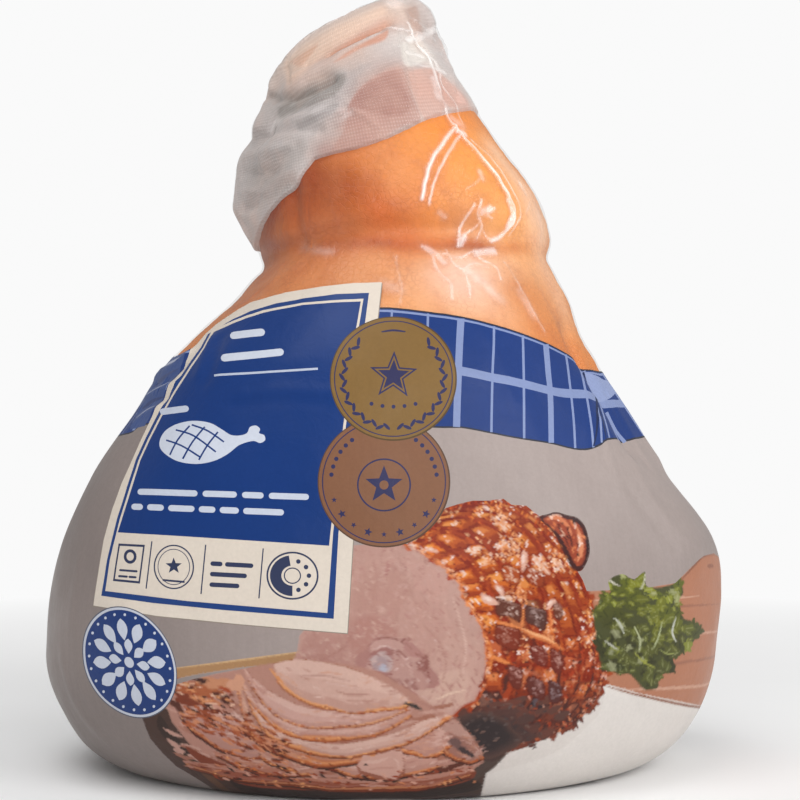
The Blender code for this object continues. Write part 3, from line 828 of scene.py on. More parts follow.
# glaze over the whole crust, warm on top and brown below
for _ in range(520):
    s_, t_ = RNG.uniform(0, 1), RNG.uniform(0, 0.97)
    low, grey = shade_of(s_, t_)
    tone = mix(mix((196, 88, 34), (150, 44, 20), RNG.uniform(0, 1)), mix((128, 62, 42), (92, 50, 42), RNG.uniform(0, 1)), max(low, 0.35 * s_))
    shape("picture", mix(tone, (66, 54, 54), grey), round_ring(on_rib(s_, t_), RNG.uniform(3, 8), RNG.uniform(2, 5), RNG.uniform(0, 3), 12, 0.35, s_ * 9))
for i in range(len(RIBS) - 1):
    count = (10, 10, 11, 11, 12, 12, 13, 12)[i]
    cuts = np.linspace(-0.02, 0.92, count + 1) + 0.02 * math.sin(2.3 * i + 0.5)
    cuts[1:-1] += RNG.normal(0, 0.012, count - 1)
    wide_ = RIBS[i + 1] - RIBS[i]
    for j in range(count):
        lean = RNG.normal(0, 0.07) * wide_
        s0, s1 = RIBS[i] + lean + RNG.uniform(0.02, 0.12) * wide_, RIBS[i + 1] + lean - RNG.uniform(0.10, 0.24) * wide_
        t0, t1 = cuts[j], cuts[j + 1]
        s_, t_ = (s0 + s1) / 2, (t0 + t1) / 2
        low, grey = shade_of(s_, t_)
        middle = on_rib(s_, t_)
        char, gloss_ = nearness(middle, CHARRED), nearness(middle, GLOSSY)
        warm = RNG.uniform(0, 1)
        body = mix(mix((226, 120, 40), (184, 78, 28), warm), mix((142, 70, 46), (104, 54, 42), warm), max(low, 0.45 * s_))
        light = mix(mix((244, 164, 78), (220, 118, 54), warm), mix((176, 104, 74), (134, 80, 62), warm), max(low, 0.5 * s_))
        red = redness(s_, t_) * (1 - low)
        body = mix(body, mix((178, 76, 36), (146, 52, 26), warm), red)
        light = mix(light, mix((214, 122, 74), (188, 92, 56), warm), red)
        dark = mix((116, 26, 10), (70, 36, 32), low)
        shine = mix((244, 222, 214), (186, 150, 140), low)
        body, light = mix(body, (64, 52, 52), grey), mix(light, (96, 80, 78), grey)
        if char > 0.15:
            body, light, shine = mix(body, (46, 40, 46), min(1, 1.5 * char)), mix(light, (84, 78, 88), min(1, 1.3 * char)), mix(shine, (190, 196, 212), char)
        shape("picture", mix(dark, body, 0.35), crust_block(s0 - 0.05 * wide_, s1 + 0.08 * wide_, t0, t1, 0.02, 0.08, 5))
        shape("picture", body, crust_block(s0, s1, t0, t1, RNG.uniform(0.07, 0.13), 0.09, 5))
        shape("picture", mix(body, dark, 0.45), crust_block(s0 + 0.06 * wide_, s1 - 0.04 * wide_, t0 + (t1 - t0) * 0.66, t1, 0.12, 0.12, 4))
        shape("picture", light, crust_block(s0 + (s1 - s0) * 0.08, s0 + (s1 - s0) * RNG.uniform(0.6, 0.85), t0 + (t1 - t0) * 0.10, t0 + (t1 - t0) * RNG.uniform(0.42, 0.66), 0.06, 0.18, 4))
        if gloss_ > 0.25 and not low:
            shape("picture", mix(light, (236, 206, 196), 0.75), crust_block(s0 + (s1 - s0) * 0.12, s0 + (s1 - s0) * 0.86, t0 + (t1 - t0) * 0.12, t0 + (t1 - t0) * 0.64, 0.05, 0.2, 5))
            for _ in range(7):
                speck(middle + RNG.normal(0, 3.4, 2) - [0, 1.5], RNG.uniform(1.0, 2.6), RNG.uniform(0.6, 1.0), RNG.uniform(0.6, 2.2), mix(body, light, RNG.uniform(0, 1)))
        for _ in range(int(RNG.integers(2, 5) + 5 * gloss_)):
            at = on_rib(s0 + (s1 - s0) * RNG.uniform(0.1, 0.8), t0 + (t1 - t0) * RNG.uniform(0.08, 0.6))
            size_ = (1.0 - 0.35 * s_) * (1 - 0.4 * low)
            speck(at, RNG.uniform(1.0, 3.2) * size_, RNG.uniform(0.6, 1.1) * size_, RNG.uniform(0.9, 2.0), shine)
        for _ in range(3):
            at = on_rib(s0 + (s1 - s0) * RNG.uniform(0, 1), t0 + (t1 - t0) * RNG.uniform(0.3, 1))
            speck(at, RNG.uniform(0.9, 2.6), RNG.uniform(0.6, 1.2), RNG.uniform(0, 3), mix(dark, (150, 60, 30), RNG.uniform(0, 0.6)))
        # the cut below this block, open here and there
        if RNG.random() < 0.8:
            ends = on_crust(np.array([s0, s_, s1]), np.array([t1 + RNG.normal(0, 0.004), t1 + RNG.normal(0, 0.005), t1 + RNG.normal(0, 0.004)]))
            shape("picture", mix((124, 32, 12), (74, 40, 36), low), ribbon(ends, RNG.uniform(1.0, 2.2) * (1 - 0.3 * s_), (0.5, 0.3), 4))
# grooves between the ribs, with glaze lying in them
for i, s_ in enumerate(RIBS[1:-1]):
    for k in range(9):
        t0 = 0.0 + 0.105 * k + RNG.normal(0, 0.01)
        t = np.linspace(t0, t0 + RNG.uniform(0.07, 0.12), 6)
        line = on_crust(np.full(6, s_ - 0.02) + RNG.normal(0, 0.006, 6), t)
        low = float(np.clip((t.mean() - 0.5) / 0.34, 0, 1))
        shape("picture", mix(mix((120, 26, 10), (164, 62, 24), RNG.uniform(0, 0.8)), (72, 42, 38), low), ribbon(line, RNG.uniform(2.6, 5.0) * (1.05 - 0.6 * s_), (0.5, 0.5), 3))
for _ in range(240):
    s_, t_ = RNG.choice(RIBS[1:-1]) + RNG.normal(0, 0.02), RNG.uniform(0, 0.6)
    speck(on_rib(np.clip(s_, 0, 1), t_), RNG.uniform(0.9, 2.4), RNG.uniform(0.6, 1.1), RNG.uniform(0.8, 2.2), [(232, 132, 58), (206, 92, 34), (246, 190, 140), (168, 58, 24)][RNG.integers(4)])
for _ in range(420):
    s_, t_ = RNG.uniform(0.02, 1), RNG.uniform(0.60, 0.97)
    grey = shade_of(s_, t_)[1]
    tone = [(110, 46, 30), (168, 84, 50), (92, 44, 34), (200, 122, 86), (146, 66, 40), (172, 62, 30), (216, 158, 136)][RNG.integers(7)]
    speck(on_rib(s_, t_), RNG.uniform(0.9, 3.0), RNG.uniform(0.6, 1.5), RNG.uniform(0, 3), mix(tone, (62, 52, 52), 0.8 * grey))
for k in range(300):
    x, y = RNG.uniform(456, 566), RNG.uniform(700, 758)
    deep = float(np.clip(1.1 - math.hypot((x - 492) / 52, (y - 736) / 30), 0, 1))
    if ring_holds(CRUST_RING, (x, y + 3)) and RNG.random() < 0.12 + 1.2 * deep:
        speck((x, y), RNG.uniform(5, 12), RNG.uniform(2.4, 5), -0.35 + RNG.normal(0, 0.2), mix(mix((110, 62, 50), (88, 62, 56), RNG.uniform(0, 1)), (54, 48, 50), deep))
shape("picture", (74, 55, 50), ribbon([(462, 716), (472, 738), (482, 754), (492, 759), (506, 752)], 7.0, (0.8, 0.3)))
for k in range(6):
    shape("picture", mix((86, 62, 56), (54, 45, 45), k / 5), loop(shrink_ring([(452, 722), (463, 715), (478, 711), (493, 714), (508, 721), (514, 730), (522, 737), (519, 745), (505, 753), (490, 759), (478, 756), (464, 741)], 1.0 - 0.08 * k)))
for _ in range(60):
    speck((RNG.uniform(468, 545), RNG.uniform(700, 750)), RNG.uniform(1.2, 3.0), RNG.uniform(0.6, 1.2), RNG.uniform(-0.6, 0.4), [(92, 78, 76), (70, 58, 58), (110, 84, 76)][RNG.integers(3)])
# wet light on the glaze, in clusters
for (x, y), reach, count in [((510, 545), 7, 90), ((538, 572), 6, 50), ((500, 518), 6, 40), ((556, 560), 6, 40), ((520, 596), 5, 36), ((486, 560), 5, 30), ((548, 630), 7, 40), ((522, 644), 7, 40), ((590, 640), 5, 30)]:
    for _ in range(count):
        bright = RNG.uniform(0, 1)
        speck((x + RNG.normal(0, reach), y + RNG.normal(0, reach)), RNG.uniform(0.9, 2.8), RNG.uniform(0.6, 1.1), RNG.uniform(0.8, 2.1), mix((226, 138, 78), (248, 222, 206), bright * bright))
# a pale ridge across the ribs, and the charred blocks that stand out round it
for path, wide, colour in [
    ([(520, 628), (534, 635), (548, 640), (563, 650)], 6.0, (206, 116, 66)), ([(522, 628), (534, 634), (546, 638), (556, 644)], 3.0, (238, 170, 118)),
    ([(497, 622), (506, 624), (520, 628)], 3.4, (222, 132, 76)), ([(523, 604), (523, 616), (522, 628)], 2.6, (226, 136, 78)),
    ([(490, 655), (500, 660), (510, 664)], 4.2, (226, 134, 74)), ([(488, 640), (491, 655), (490, 672)], 4.0, (222, 128, 66)),
    ([(548, 604), (551, 616), (551, 632)], 2.6, (220, 126, 74)), ([(523, 668), (534, 674), (546, 678)], 2.2, (176, 92, 62)),
]:
    shape("picture", colour, ribbon(path, wide, (0.3, 0.3)))
for ring, body, glint in [
    ([(498, 600), (508, 602), (520, 606), (519, 621), (509, 616), (498, 614)], (100, 52, 38), (214, 184, 172)),
    ([(527, 607), (536, 609), (546, 612), (544, 629), (535, 625), (527, 621)], (88, 52, 44), (206, 182, 176)),
    ([(554, 602), (560, 605), (563, 612), (561, 619), (555, 616)], (106, 54, 38), (204, 164, 150)),
    ([(497, 627), (508, 628), (519, 632), (516, 649), (504, 646), (497, 641)], (128, 50, 30), (222, 178, 162)),
    ([(533, 646), (541, 648), (547, 653), (546, 665), (538, 664), (532, 658)], (116, 44, 32), (212, 168, 156)),
    ([(551, 650), (558, 653), (563, 660), (560, 673), (553, 669)], (112, 44, 32), (206, 160, 148)),
    ([(508, 666), (516, 668), (522, 672), (520, 688), (511, 684)], (108, 46, 34), (200, 152, 142)),
    ([(528, 678), (538, 680), (544, 684), (543, 698), (534, 696), (528, 690)], (98, 46, 38), (178, 140, 136)),
    ([(549, 682), (557, 684), (562, 690), (558, 702), (550, 700)], (88, 48, 44), (164, 146, 150)),
    ([(527, 568), (535, 570), (543, 575), (542, 586), (533, 584), (526, 578)], (150, 62, 30), (250, 228, 216)),
    ([(504, 566), (512, 568), (519, 572), (518, 584), (510, 583), (503, 577)], (168, 74, 32), (250, 226, 208)),
]:
    middle = np.array(ring, float).mean(axis=0)
    shape("picture", mix(body, (96, 28, 14), 0.55), loop(shrink_ring(ring, 1.14)))
    shape("picture", body, loop(ring))
    for _ in range(26):
        at = middle + RNG.normal(0, 1, 2) * (5.0, 5.0)
        if ring_holds(ring, at):
            speck(at, RNG.uniform(0.9, 2.6), RNG.uniform(0.6, 1.0), RNG.uniform(0.3, 1.4), mix(body, glint, RNG.uniform(0.15, 1)))
    shape("picture", mix(body, glint, 0.5), ribbon(ring[:3], 1.2, (0.2, 0.2), 3))
# pale fat that shows along the crust's near edge, and between blocks
for centre, rx, ry, turn in [((489, 600), 9, 4.5, 0.5), ((500, 590), 6, 3.4, 0.9), ((524, 560), 3.0, 11, 0.12), ((551, 604), 6, 3.0, -0.9), ((417, 548), 7, 2.4, 0.3), ((432, 550), 6, 2.2, 0.2)]:
    shape("picture", (222, 172, 152), round_ring(centre, rx, ry, turn, 24, 0.25, rx))
    shape("picture", (238, 206, 192), round_ring((centre[0] - 1, centre[1] - 1), rx * 0.55, ry * 0.45, turn, 16, 0.25, ry))
NEAR_EDGE = curve([(414, 546), (427, 556), (444, 567), (453, 577), (461, 586), (463.5, 598), (473.5, 612), (483.5, 630), (486.5, 654), (485, 676), (477, 700), (464, 709)], 12)
for k in range(0, len(NEAR_EDGE) - 4, 3):
    tone = mix((206, 112, 62), (236, 150, 92), RNG.uniform(0, 1)) if k < 100 else mix((196, 96, 52), (160, 74, 46), RNG.uniform(0, 1))
    shape("picture", tone, ribbon(NEAR_EDGE[k : k + 5] + RNG.normal(0, 0.6, 2) + [0.6, 0], RNG.uniform(2.0, 4.6), (0.4, 0.4), 3))
for k in range(0, len(NEAR_EDGE) - 3, 2):
    speck(NEAR_EDGE[k] + RNG.normal(0, 1.3, 2) + [1.8, 0], RNG.uniform(1.4, 3.4), RNG.uniform(0.8, 1.5), RNG.uniform(0, 3), [(150, 52, 24), (224, 138, 84), (184, 84, 42), (120, 44, 26), (238, 178, 140)][RNG.integers(5)])

# the knob at the joint's far end
shape("picture", (66, 30, 28), loop([(539, 518), (548, 514), (556, 512), (567, 515), (578, 518), (586, 528), (590, 547), (588, 560), (581, 571), (572, 568), (564, 553), (553, 532)]), cut=True)
shape("picture", (152, 66, 42), loop([(543, 520), (555, 515), (566, 519), (577, 523), (583, 532), (586, 547), (584, 560), (579, 566), (573, 560), (566, 546), (556, 531)]))
for path, wide, colour in [
    ([(546, 520), (556, 518), (566, 524), (572, 536)], 4.6, (208, 122, 82)), ([(576, 526), (580, 538), (581, 552), (577, 562)], 5.2, (214, 134, 94)),
    ([(566, 526), (571, 540), (573, 554)], 1.8, (78, 30, 26)), ([(556, 524), (564, 536), (570, 550)], 1.8, (92, 34, 28)),
    ([(548, 517), (556, 515), (562, 517)], 1.4, (236, 190, 168)), ([(578, 534), (580, 544), (578, 552)], 1.6, (240, 204, 184)),
    ([(584, 530), (588, 545), (586, 560)], 1.6, (42, 26, 28)), ([(560, 528), (566, 538)], 1.2, (232, 180, 150)),
    ([(570, 518), (577, 520), (582, 526)], 1.4, (54, 40, 42)),
]:
    shape("picture", colour, ribbon(path, wide, (0.2, 0.2)))

for _ in range(70):
    at = (RNG.uniform(544, 587), RNG.uniform(515, 569))
    if ring_holds([(543, 520), (555, 515), (566, 519), (577, 523), (583, 532), (586, 547), (584, 560), (579, 566), (573, 560), (566, 546), (556, 531)], at):
        speck(at, RNG.uniform(1.2, 3.4), RNG.uniform(0.7, 1.4), RNG.uniform(0.8, 1.6), [(96, 30, 20), (216, 128, 82), (240, 200, 180), (170, 80, 50), (54, 34, 34), (206, 112, 66)][RNG.integers(6)])

# carved slices: each a pink blade with a browned rim, lying over one another
HEAP = filled_in([
    (163, 698), (172, 686), (190, 680), (214, 674), (246, 668), (282, 662), (312, 660), (345, 664), (380, 672), (410, 690), (436, 708), (458, 720), (476, 742),
    (484, 762), (466, 774), (420, 781), (360, 784), (300, 783), (250, 776), (214, 760), (190, 744), (172, 722)])
shape("picture", (180, 132, 117), HEAP, cut=True)
for _ in range(240):
    t, side = RNG.uniform(0, 0.92), RNG.uniform(-1, 1)
    at = (172 + 300 * t, 722 + 20 * math.sin(2.2 * t) + 34 * side)
    speck(at, RNG.uniform(4, 12), RNG.uniform(1, 2.6), 0.5 - 0.9 * t + RNG.normal(0, 0.12), mix((180, 132, 117), [(150, 92, 72), (206, 164, 150), (168, 112, 94)][RNG.integers(3)], 0.6))
shape("picture", (128, 62, 42), loop([(186, 746), (214, 760), (250, 772), (300, 776), (360, 778), (420, 774), (470, 768), (470, 780), (420, 790), (300, 790), (240, 784), (200, 762)]))


def slice_of(top, foot, tone, rim=4.0, rim_tone=(202, 126, 80), gap=0.0, seed=0.0):
    """One blade between two long edges, seen from the front: pale at its top edge, shaded lower, with a soft browned rim along its foot."""
    count = 60
    top, foot = curve(np.array(top, float), 12), curve(np.array(foot, float), 12)
    top = top[np.linspace(0, len(top) - 1, count).astype(int)]
    foot = foot[np.linspace(0, len(foot) - 1, count).astype(int)]
    t = np.arange(count) / count
    ragged = 1.0 * np.sin(9 * t + seed) + 0.6 * np.sin(23 * t + 2 * seed) + RNG.normal(0, 0.3, count)
    foot = foot + np.stack([0 * ragged, ragged * 0.8], axis=-1)
    wide = rim * (0.75 + 0.35 * np.sin(7 * t + 3 * seed) + 0.2 * np.sin(19 * t + seed))

    def up(share, lift):
        """A line between the edges: a share of the way down, then lifted by so many pixels."""
        line = top + (foot - top) * share
        return np.stack([line[:, 0], np.maximum(line[:, 1] - lift, top[:, 1] + 0.3)], axis=-1)

    if gap:
        shape("picture", (70, 42, 36), np.concatenate([top, foot[::-1] + [0, gap]]))
    shape("picture", mix(rim_tone, (120, 58, 36), 0.6), np.concatenate([top - [0, 0.3], foot[::-1] + [0, 0.8]]))
    shape("picture", rim_tone, np.concatenate([top, up(1, 0.9)[::-1]]))
    shape("picture", mix(rim_tone, (232, 172, 120), 0.55), np.concatenate([top, up(1, wide * 0.35)[::-1]]))
    shape("picture", mix(tone, rim_tone, 0.5), np.concatenate([top, up(1, wide * 0.75)[::-1]]))
    shape("picture", mix(tone, (170, 120, 106), 0.35), np.concatenate([top, up(1, wide * 1.05)[::-1]]))
    shape("picture", tone, np.concatenate([top, up(0.8, wide * 0.8)[::-1]]))
    shape("picture", mix(tone, (222, 186, 172), 0.45), np.concatenate([top, up(0.36, 0)[::-1]]))
    for _ in range(46):
        k = RNG.integers(2, count - 3)
        at = up(RNG.uniform(0.08, 0.8), 0)[k]
        turn = math.atan2(foot[k + 2, 1] - foot[k - 2, 1], foot[k + 2, 0] - foot[k - 2, 0])
        colour = mix(tone, [(228, 196, 184), (168, 116, 102), (208, 150, 122)][RNG.integers(3)], RNG.uniform(0.25, 0.55))
        speck(at, RNG.uniform(2.5, 8), RNG.uniform(0.6, 1.2), turn + RNG.normal(0, 0.1), colour)
    for _ in range(26):
        k = RNG.integers(1, count - 1)
        at = foot[k] - [0, RNG.uniform(0, 1) * wide[k]]
        speck(at, RNG.uniform(1.0, 3.0), RNG.uniform(0.6, 1.1), RNG.normal(0.1, 0.4), [(140, 70, 42), (226, 158, 106), (172, 92, 54), (196, 110, 64)][RNG.integers(4)])


PINKS = [(203, 160, 148), (196, 150, 137), (188, 142, 129), (206, 166, 152)]
# low and behind: the left-hand blades and the foot of the heap
slice_of([(182, 760), (240, 768), (330, 778), (420, 776), (474, 766)], [(190, 768), (250, 782), (330, 790), (410, 790), (470, 778)], (150, 84, 64), 5, (132, 62, 40), 2, 1.0)
slice_of([(176, 712), (200, 706), (232, 712), (256, 726), (266, 744)], [(182, 718), (198, 736), (222, 750), (248, 758), (266, 760)], (184, 138, 126), 3.0, (166, 84, 54), 3.0, 2.0)
slice_of([(208, 712), (228, 712), (250, 724), (262, 738)], [(212, 718), (232, 727), (250, 738), (264, 748)], (196, 150, 138), 2.0, (150, 72, 48), 1.0, 0.5)
slice_of([(214, 752), (240, 758), (270, 762), (300, 770)], [(216, 757), (242, 768), (272, 776), (306, 776)], (172, 112, 92), 4.0, (150, 66, 40), 2.0, 4.0)
slice_of([(256, 744), (280, 750), (300, 758), (314, 768)], [(262, 760), (282, 768), (300, 776), (312, 774)], (186, 134, 116), 3.4, (198, 116, 66), 2.0, 5.5)
slice_of([(318, 752), (352, 756), (396, 752), (430, 744)], [(322, 766), (352, 776), (396, 778), (440, 768)], (192, 146, 132), 3.4, (190, 112, 70), 3.0, 3.3)
slice_of([(436, 718), (452, 720), (468, 732), (482, 752)], [(428, 744), (446, 756), (466, 762), (483, 760)], (150, 104, 92), 4.0, (158, 84, 54), 2.4, 1.7)
slice_of([(404, 738), (424, 728), (440, 728), (452, 740)], [(402, 752), (420, 757), (438, 755), (452, 746)], (190, 142, 128), 4.4, (204, 122, 72), 1.4, 2.6)
# the long browned flank of the stack, then its blades from the lowest up
slice_of([(236, 674), (246, 704), (258, 730), (286, 744), (330, 752), (372, 750)], [(238, 690), (243, 716), (258, 744), (286, 757), (322, 766), (376, 760)], (190, 130, 104), 7.0, (190, 106, 60), 2.4, 0.9)
slice_of([(244, 690), (262, 716), (296, 736), (340, 744), (392, 734), (426, 720), (450, 714)], [(252, 712), (270, 738), (304, 753), (350, 757), (396, 747), (428, 734), (452, 718)], PINKS[3], 5.0, (204, 124, 76), 1.2, 2.2)
slice_of([(240, 676), (256, 700), (290, 722), (334, 728), (372, 724), (410, 704)], [(246, 696), (266, 722), (298, 738), (336, 741), (380, 735), (412, 716)], PINKS[1], 5.4, (194, 112, 66), 0.0, 3.7)
slice_of([(244, 668), (262, 686), (294, 704), (334, 712), (376, 708), (408, 700)], [(252, 690), (274, 714), (304, 727), (340, 729), (378, 723), (410, 708)], PINKS[0], 2.6, (200, 136, 104), 0.0, 5.1)
slice_of([(274, 664), (292, 660), (322, 662), (354, 670), (386, 684), (410, 700)], [(277, 682), (296, 698), (326, 710), (354, 714), (386, 710), (411, 706)], PINKS[3], 4.6, (210, 136, 84), 0.0, 0.2)
for path, wide, colour in [
    ([(334, 690), (350, 695), (372, 694)], 1.4, (168, 118, 106)), ([(322, 682), (344, 686), (366, 690)], 1.2, (214, 178, 166)), ([(300, 676), (326, 676), (352, 682)], 1.6, (188, 146, 134)),
    ([(404, 703), (414, 706), (422, 710)], 4.0, (62, 56, 54)), ([(410, 700), (424, 704), (438, 712)], 2.0, (172, 124, 112)), ([(270, 668), (276, 676), (284, 684)], 3.0, (214, 146, 98)),
]:
    shape("picture", colour, ribbon(path, wide, (0.2, 0.2)))
shape("picture", (150, 92, 74), filled_in([(356, 766), (364, 757), (374, 759), (388, 755), (394, 753), (404, 758), (405, 772), (396, 783), (378, 779), (360, 774)], 3.0))
shape("picture", (202, 158, 144), filled_in([(357, 765), (364, 755), (374, 757), (388, 752), (393, 750), (403, 755), (404, 768), (396, 780), (380, 776), (362, 771)], 3.0))
for path, wide, colour in [([(362, 762), (376, 762), (390, 757)], 3.4, (210, 170, 156)), ([(368, 770), (382, 768), (398, 768)], 2.6, (192, 146, 132)), ([(392, 758), (398, 763), (399, 773)], 2.4, (212, 172, 158))]:
    shape("picture", colour, ribbon(path, wide, (0.2, 0.2)))
# browned, ragged pieces at the heap's left end
for centre, rx, ry, turn, colour, seed in [
    ((196, 690), 24, 8, 0.15, (170, 96, 62), 1), ((186, 700), 14, 5, 0.45, (126, 60, 40), 2), ((214, 683), 16, 6, 0.0, (198, 136, 102), 3),
    ((206, 702), 16, 4, 0.35, (190, 122, 88), 4), ((222, 698), 11, 3.6, 0.4, (78, 44, 38), 5), ((176, 706), 10, 3.4, 0.7, (90, 50, 40), 6),
    ((236, 684), 8, 9, 0.6, (208, 152, 124), 7), ((214, 708), 15, 3.4, 0.3, (200, 146, 128), 8), ((198, 714), 13, 2.4, 0.45, (64, 42, 36), 9),
    ((200, 680), 9, 1.8, 0.2, (72, 44, 38), 10), ((190, 686), 8, 2.0, 0.2, (216, 158, 112), 11), ((226, 690), 7, 2.2, 0.5, (164, 74, 44), 12),
    ((456, 744), 9, 4, 0.7, (110, 82, 78), 13), ((466, 752), 8, 3, 0.5, (70, 56, 56), 14), ((448, 768), 14, 3, -0.2, (96, 50, 38), 15),
]:
    shape("picture", colour, round_ring(centre, rx, ry, turn, 36, 0.3, seed))
for _ in range(170):
    t = RNG.uniform(0, 1)
    if RNG.random() < 0.45:
        at, colour = (170 + 66 * t, 686 + 22 * t + RNG.normal(0, 7)), [(118, 60, 42), (214, 142, 96), (74, 44, 38), (222, 176, 150), (168, 86, 54)][RNG.integers(5)]
    else:
        at, colour = (200 + 275 * t, 778 + RNG.normal(0, 5) - 12 * abs(t - 0.5)), [(118, 50, 34), (206, 132, 92), (54, 38, 36), (212, 160, 140), (150, 66, 40)][RNG.integers(5)]
    speck(at, RNG.uniform(1.4, 5.0), RNG.uniform(0.6, 1.4), 0.2 + RNG.normal(0, 0.3), colour)

# the salad leaves: dark under-leaves first, lighter ones above, stems and pale lights
LEAVES = [
    (594, 617), (600, 601), (610, 592), (609, 580), (622, 574), (634, 579), (645, 571), (646, 585), (657, 588), (678, 584), (683, 592), (678, 602), (683, 618), (691, 621),
    (698, 630), (692, 643), (683, 651), (671, 660), (672, 669), (660, 676), (658, 688), (645, 690), (637, 681), (628, 674), (608, 671), (600, 660), (597, 640)]
shape("picture", (74, 76, 44), loop(LEAVES), cut=True)
inside = np.array(LEAVES, float)


def within(x, y, ring):
    a, b = ring, np.roll(ring, -1, axis=0)
    with np.errstate(divide="ignore", invalid="ignore"):
        cross = ((a[:, 1] > y) != (b[:, 1] > y)) & (x < (b[:, 0] - a[:, 0]) * (y - a[:, 1]) / (b[:, 1] - a[:, 1]) + a[:, 0])
    return cross.sum() % 2 == 1


def leaf(x, y, size, turn, colour, vein):
    a = np.linspace(0, 2 * np.pi, 22, endpoint=False)
    lobes = 1 + 0.24 * np.sin(5 * a + turn * 3) + 0.12 * np.sin(9 * a + x)
    rx, ry = size * lobes * np.cos(a), 0.62 * size * lobes * np.sin(a)
    c, s = math.cos(turn), math.sin(turn)
    shape("picture", colour, np.stack([x + rx * c - ry * s, y + rx * s + ry * c], axis=-1))
    shape("picture", vein, ribbon([(x - 0.8 * size * c, y - 0.8 * size * s), (x, y), (x + 0.7 * size * c, y + 0.7 * size * s)], 0.9, (0.3, 0.2), 3))


for level, (count, small, large) in enumerate([(70, 5, 9), (80, 3.5, 7), (70, 2.6, 5)]):
    placed = 0
    while placed < count:
        x, y = RNG.uniform(592, 698), RNG.uniform(570, 692)
        if not within(x, y, inside):
            continue
        placed += 1
        high = float(np.clip((640 - y) / 60 + 0.3 * (x > 650), 0, 1))
        tone = mix(mix((62, 64, 38), (92, 96, 44), level / 2), mix((104, 112, 40), (150, 152, 40), level / 2), high)
        tone = mix(tone, (118, 128, 52), RNG.uniform(0, 0.4) * (level > 0))
        if level and RNG.random() < 0.22:
            tone = mix(tone, [(176, 184, 70), (44, 50, 34), (186, 190, 160)][RNG.integers(3)], 0.6)
        tone = mix(tone, (60, 48, 30), 0.16)
        leaf(x, y, RNG.uniform(small, large), RNG.uniform(0, 6.28), tone, mix(tone, (196, 200, 150), 0.45) if level else mix(tone, (30, 34, 22), 0.5))
for path, wide, colour in [
    ([(607, 574), (612, 582), (620, 586)], 1.6, (214, 208, 190)), ([(645, 574), (644, 582), (640, 590)], 1.6, (200, 198, 176)), ([(634, 626), (640, 640), (639, 652)], 1.8, (176, 180, 140)),
    ([(662, 622), (658, 638), (652, 650)], 1.6, (168, 174, 130)), ([(676, 616), (672, 632), (676, 642)], 2.0, (190, 192, 176)), ([(614, 618), (620, 624), (624, 634)], 2.2, (184, 186, 168)),
    ([(604, 640), (612, 646), (618, 650)], 2.0, (176, 176, 160)), ([(634, 652), (644, 662), (656, 668)], 1.6, (158, 160, 72)), ([(660, 650), (668, 654), (678, 652)], 1.3, (150, 156, 90)),
]:
    shape("picture", colour, ribbon(path, wide, (0.3, 0.3)))

# browned edges of the slices at the heap's lower left
STREAKS = np.random.default_rng(41)
for _ in range(170):
    far_ = STREAKS.uniform(0, 1)
    at = (184 + 104 * far_, 714 + 34 * far_ + STREAKS.normal(0, 9))
    if ring_holds(HEAP, at):
        tone = [(126, 60, 40), (176, 96, 62), (96, 50, 38), (204, 134, 98), (150, 74, 46)][STREAKS.integers(5)]
        speck(at, STREAKS.uniform(2.0, 8.0), STREAKS.uniform(0.7, 1.7), 0.42 + STREAKS.normal(0, 0.16), tone)

# ------------------------------------------------------------------------------------------------------- the label
CREAM, NAVY, PANEL, OFF_WHITE = (229, 217, 203), (34, 66, 128), (22, 58, 124), (214, 220, 234)
LABEL_OUT = [
    (381.8, 282.4), (353.9, 282.9), (319.4, 286.9), (285, 292.4), (250.5, 302.7), (233.3, 313), (216, 324.2), (205.8, 332.9), (193.7, 347.5), (181.7, 368.2),
    (167.9, 388.8), (152.4, 416.4), (140.3, 440.5), (131.7, 459.4), (121, 483.2), (112, 508.2), (103.2, 540.4), (97, 577.9), (92.9, 605.5), (156.8, 615.9),
    (240.7, 624.3), (347.3, 633.2), (352.9, 542.1), (366.5, 421), (378, 316.5)]
FRAME_OUT = [
    (369, 292.7), (336.6, 294), (302.2, 298.4), (276.4, 303.6), (250.5, 311.3), (233.3, 319), (219.5, 326.8), (207.5, 334), (200.6, 347.5), (186.8, 366.4),
    (171.3, 390.5), (155.8, 418), (145.5, 437), (135.2, 459.4), (126.4, 486.8), (116.6, 518.9), (106.8, 560), (101, 595.7), (151.4, 602.9), (222.9, 610),
    (333.6, 618.9), (338.4, 533.2), (352.6, 421.5), (365, 323.4)]
FRAME_IN = [
    (363.5, 298.5), (333.5, 300), (302.4, 302.6), (285, 306), (264.3, 310.3), (247, 315.5), (233.3, 320.7), (212, 329.5), (203.5, 347.5), (189.6, 366.6),
    (174, 391), (158.5, 418.5), (148, 437.5), (137.8, 460), (129, 487.5), (119.3, 519.5), (109.6, 560), (105, 590.9), (187, 601), (327.3, 613), (333, 533),
    (346.5, 421.5), (358.5, 329.4)]
FIELD = [
    (360.8, 301.3), (333.2, 302.4), (302.2, 305), (285, 308.4), (264.3, 312.8), (247, 318), (233.3, 323.2), (214, 331.5), (205.5, 348), (191.4, 367),
    (175.8, 391.5), (160.3, 419), (149.8, 438), (139.6, 460.3), (131, 488), (121.3, 520), (117.5, 532.3), (205, 537.7), (329, 545.7), (330.3, 533),
    (343.8, 421.5), (356, 329.4)]
shape("label", (150, 138, 126), filled_in([(x + (0.8 if x > 300 else -0.5), y + 1.0) for x, y in LABEL_OUT]))
shape("label", CREAM, filled_in(LABEL_OUT))
shape("label", NAVY, filled_in(FRAME_OUT))
shape("label", CREAM, filled_in(FRAME_IN))
shape("label", PANEL, filled_in(FIELD))

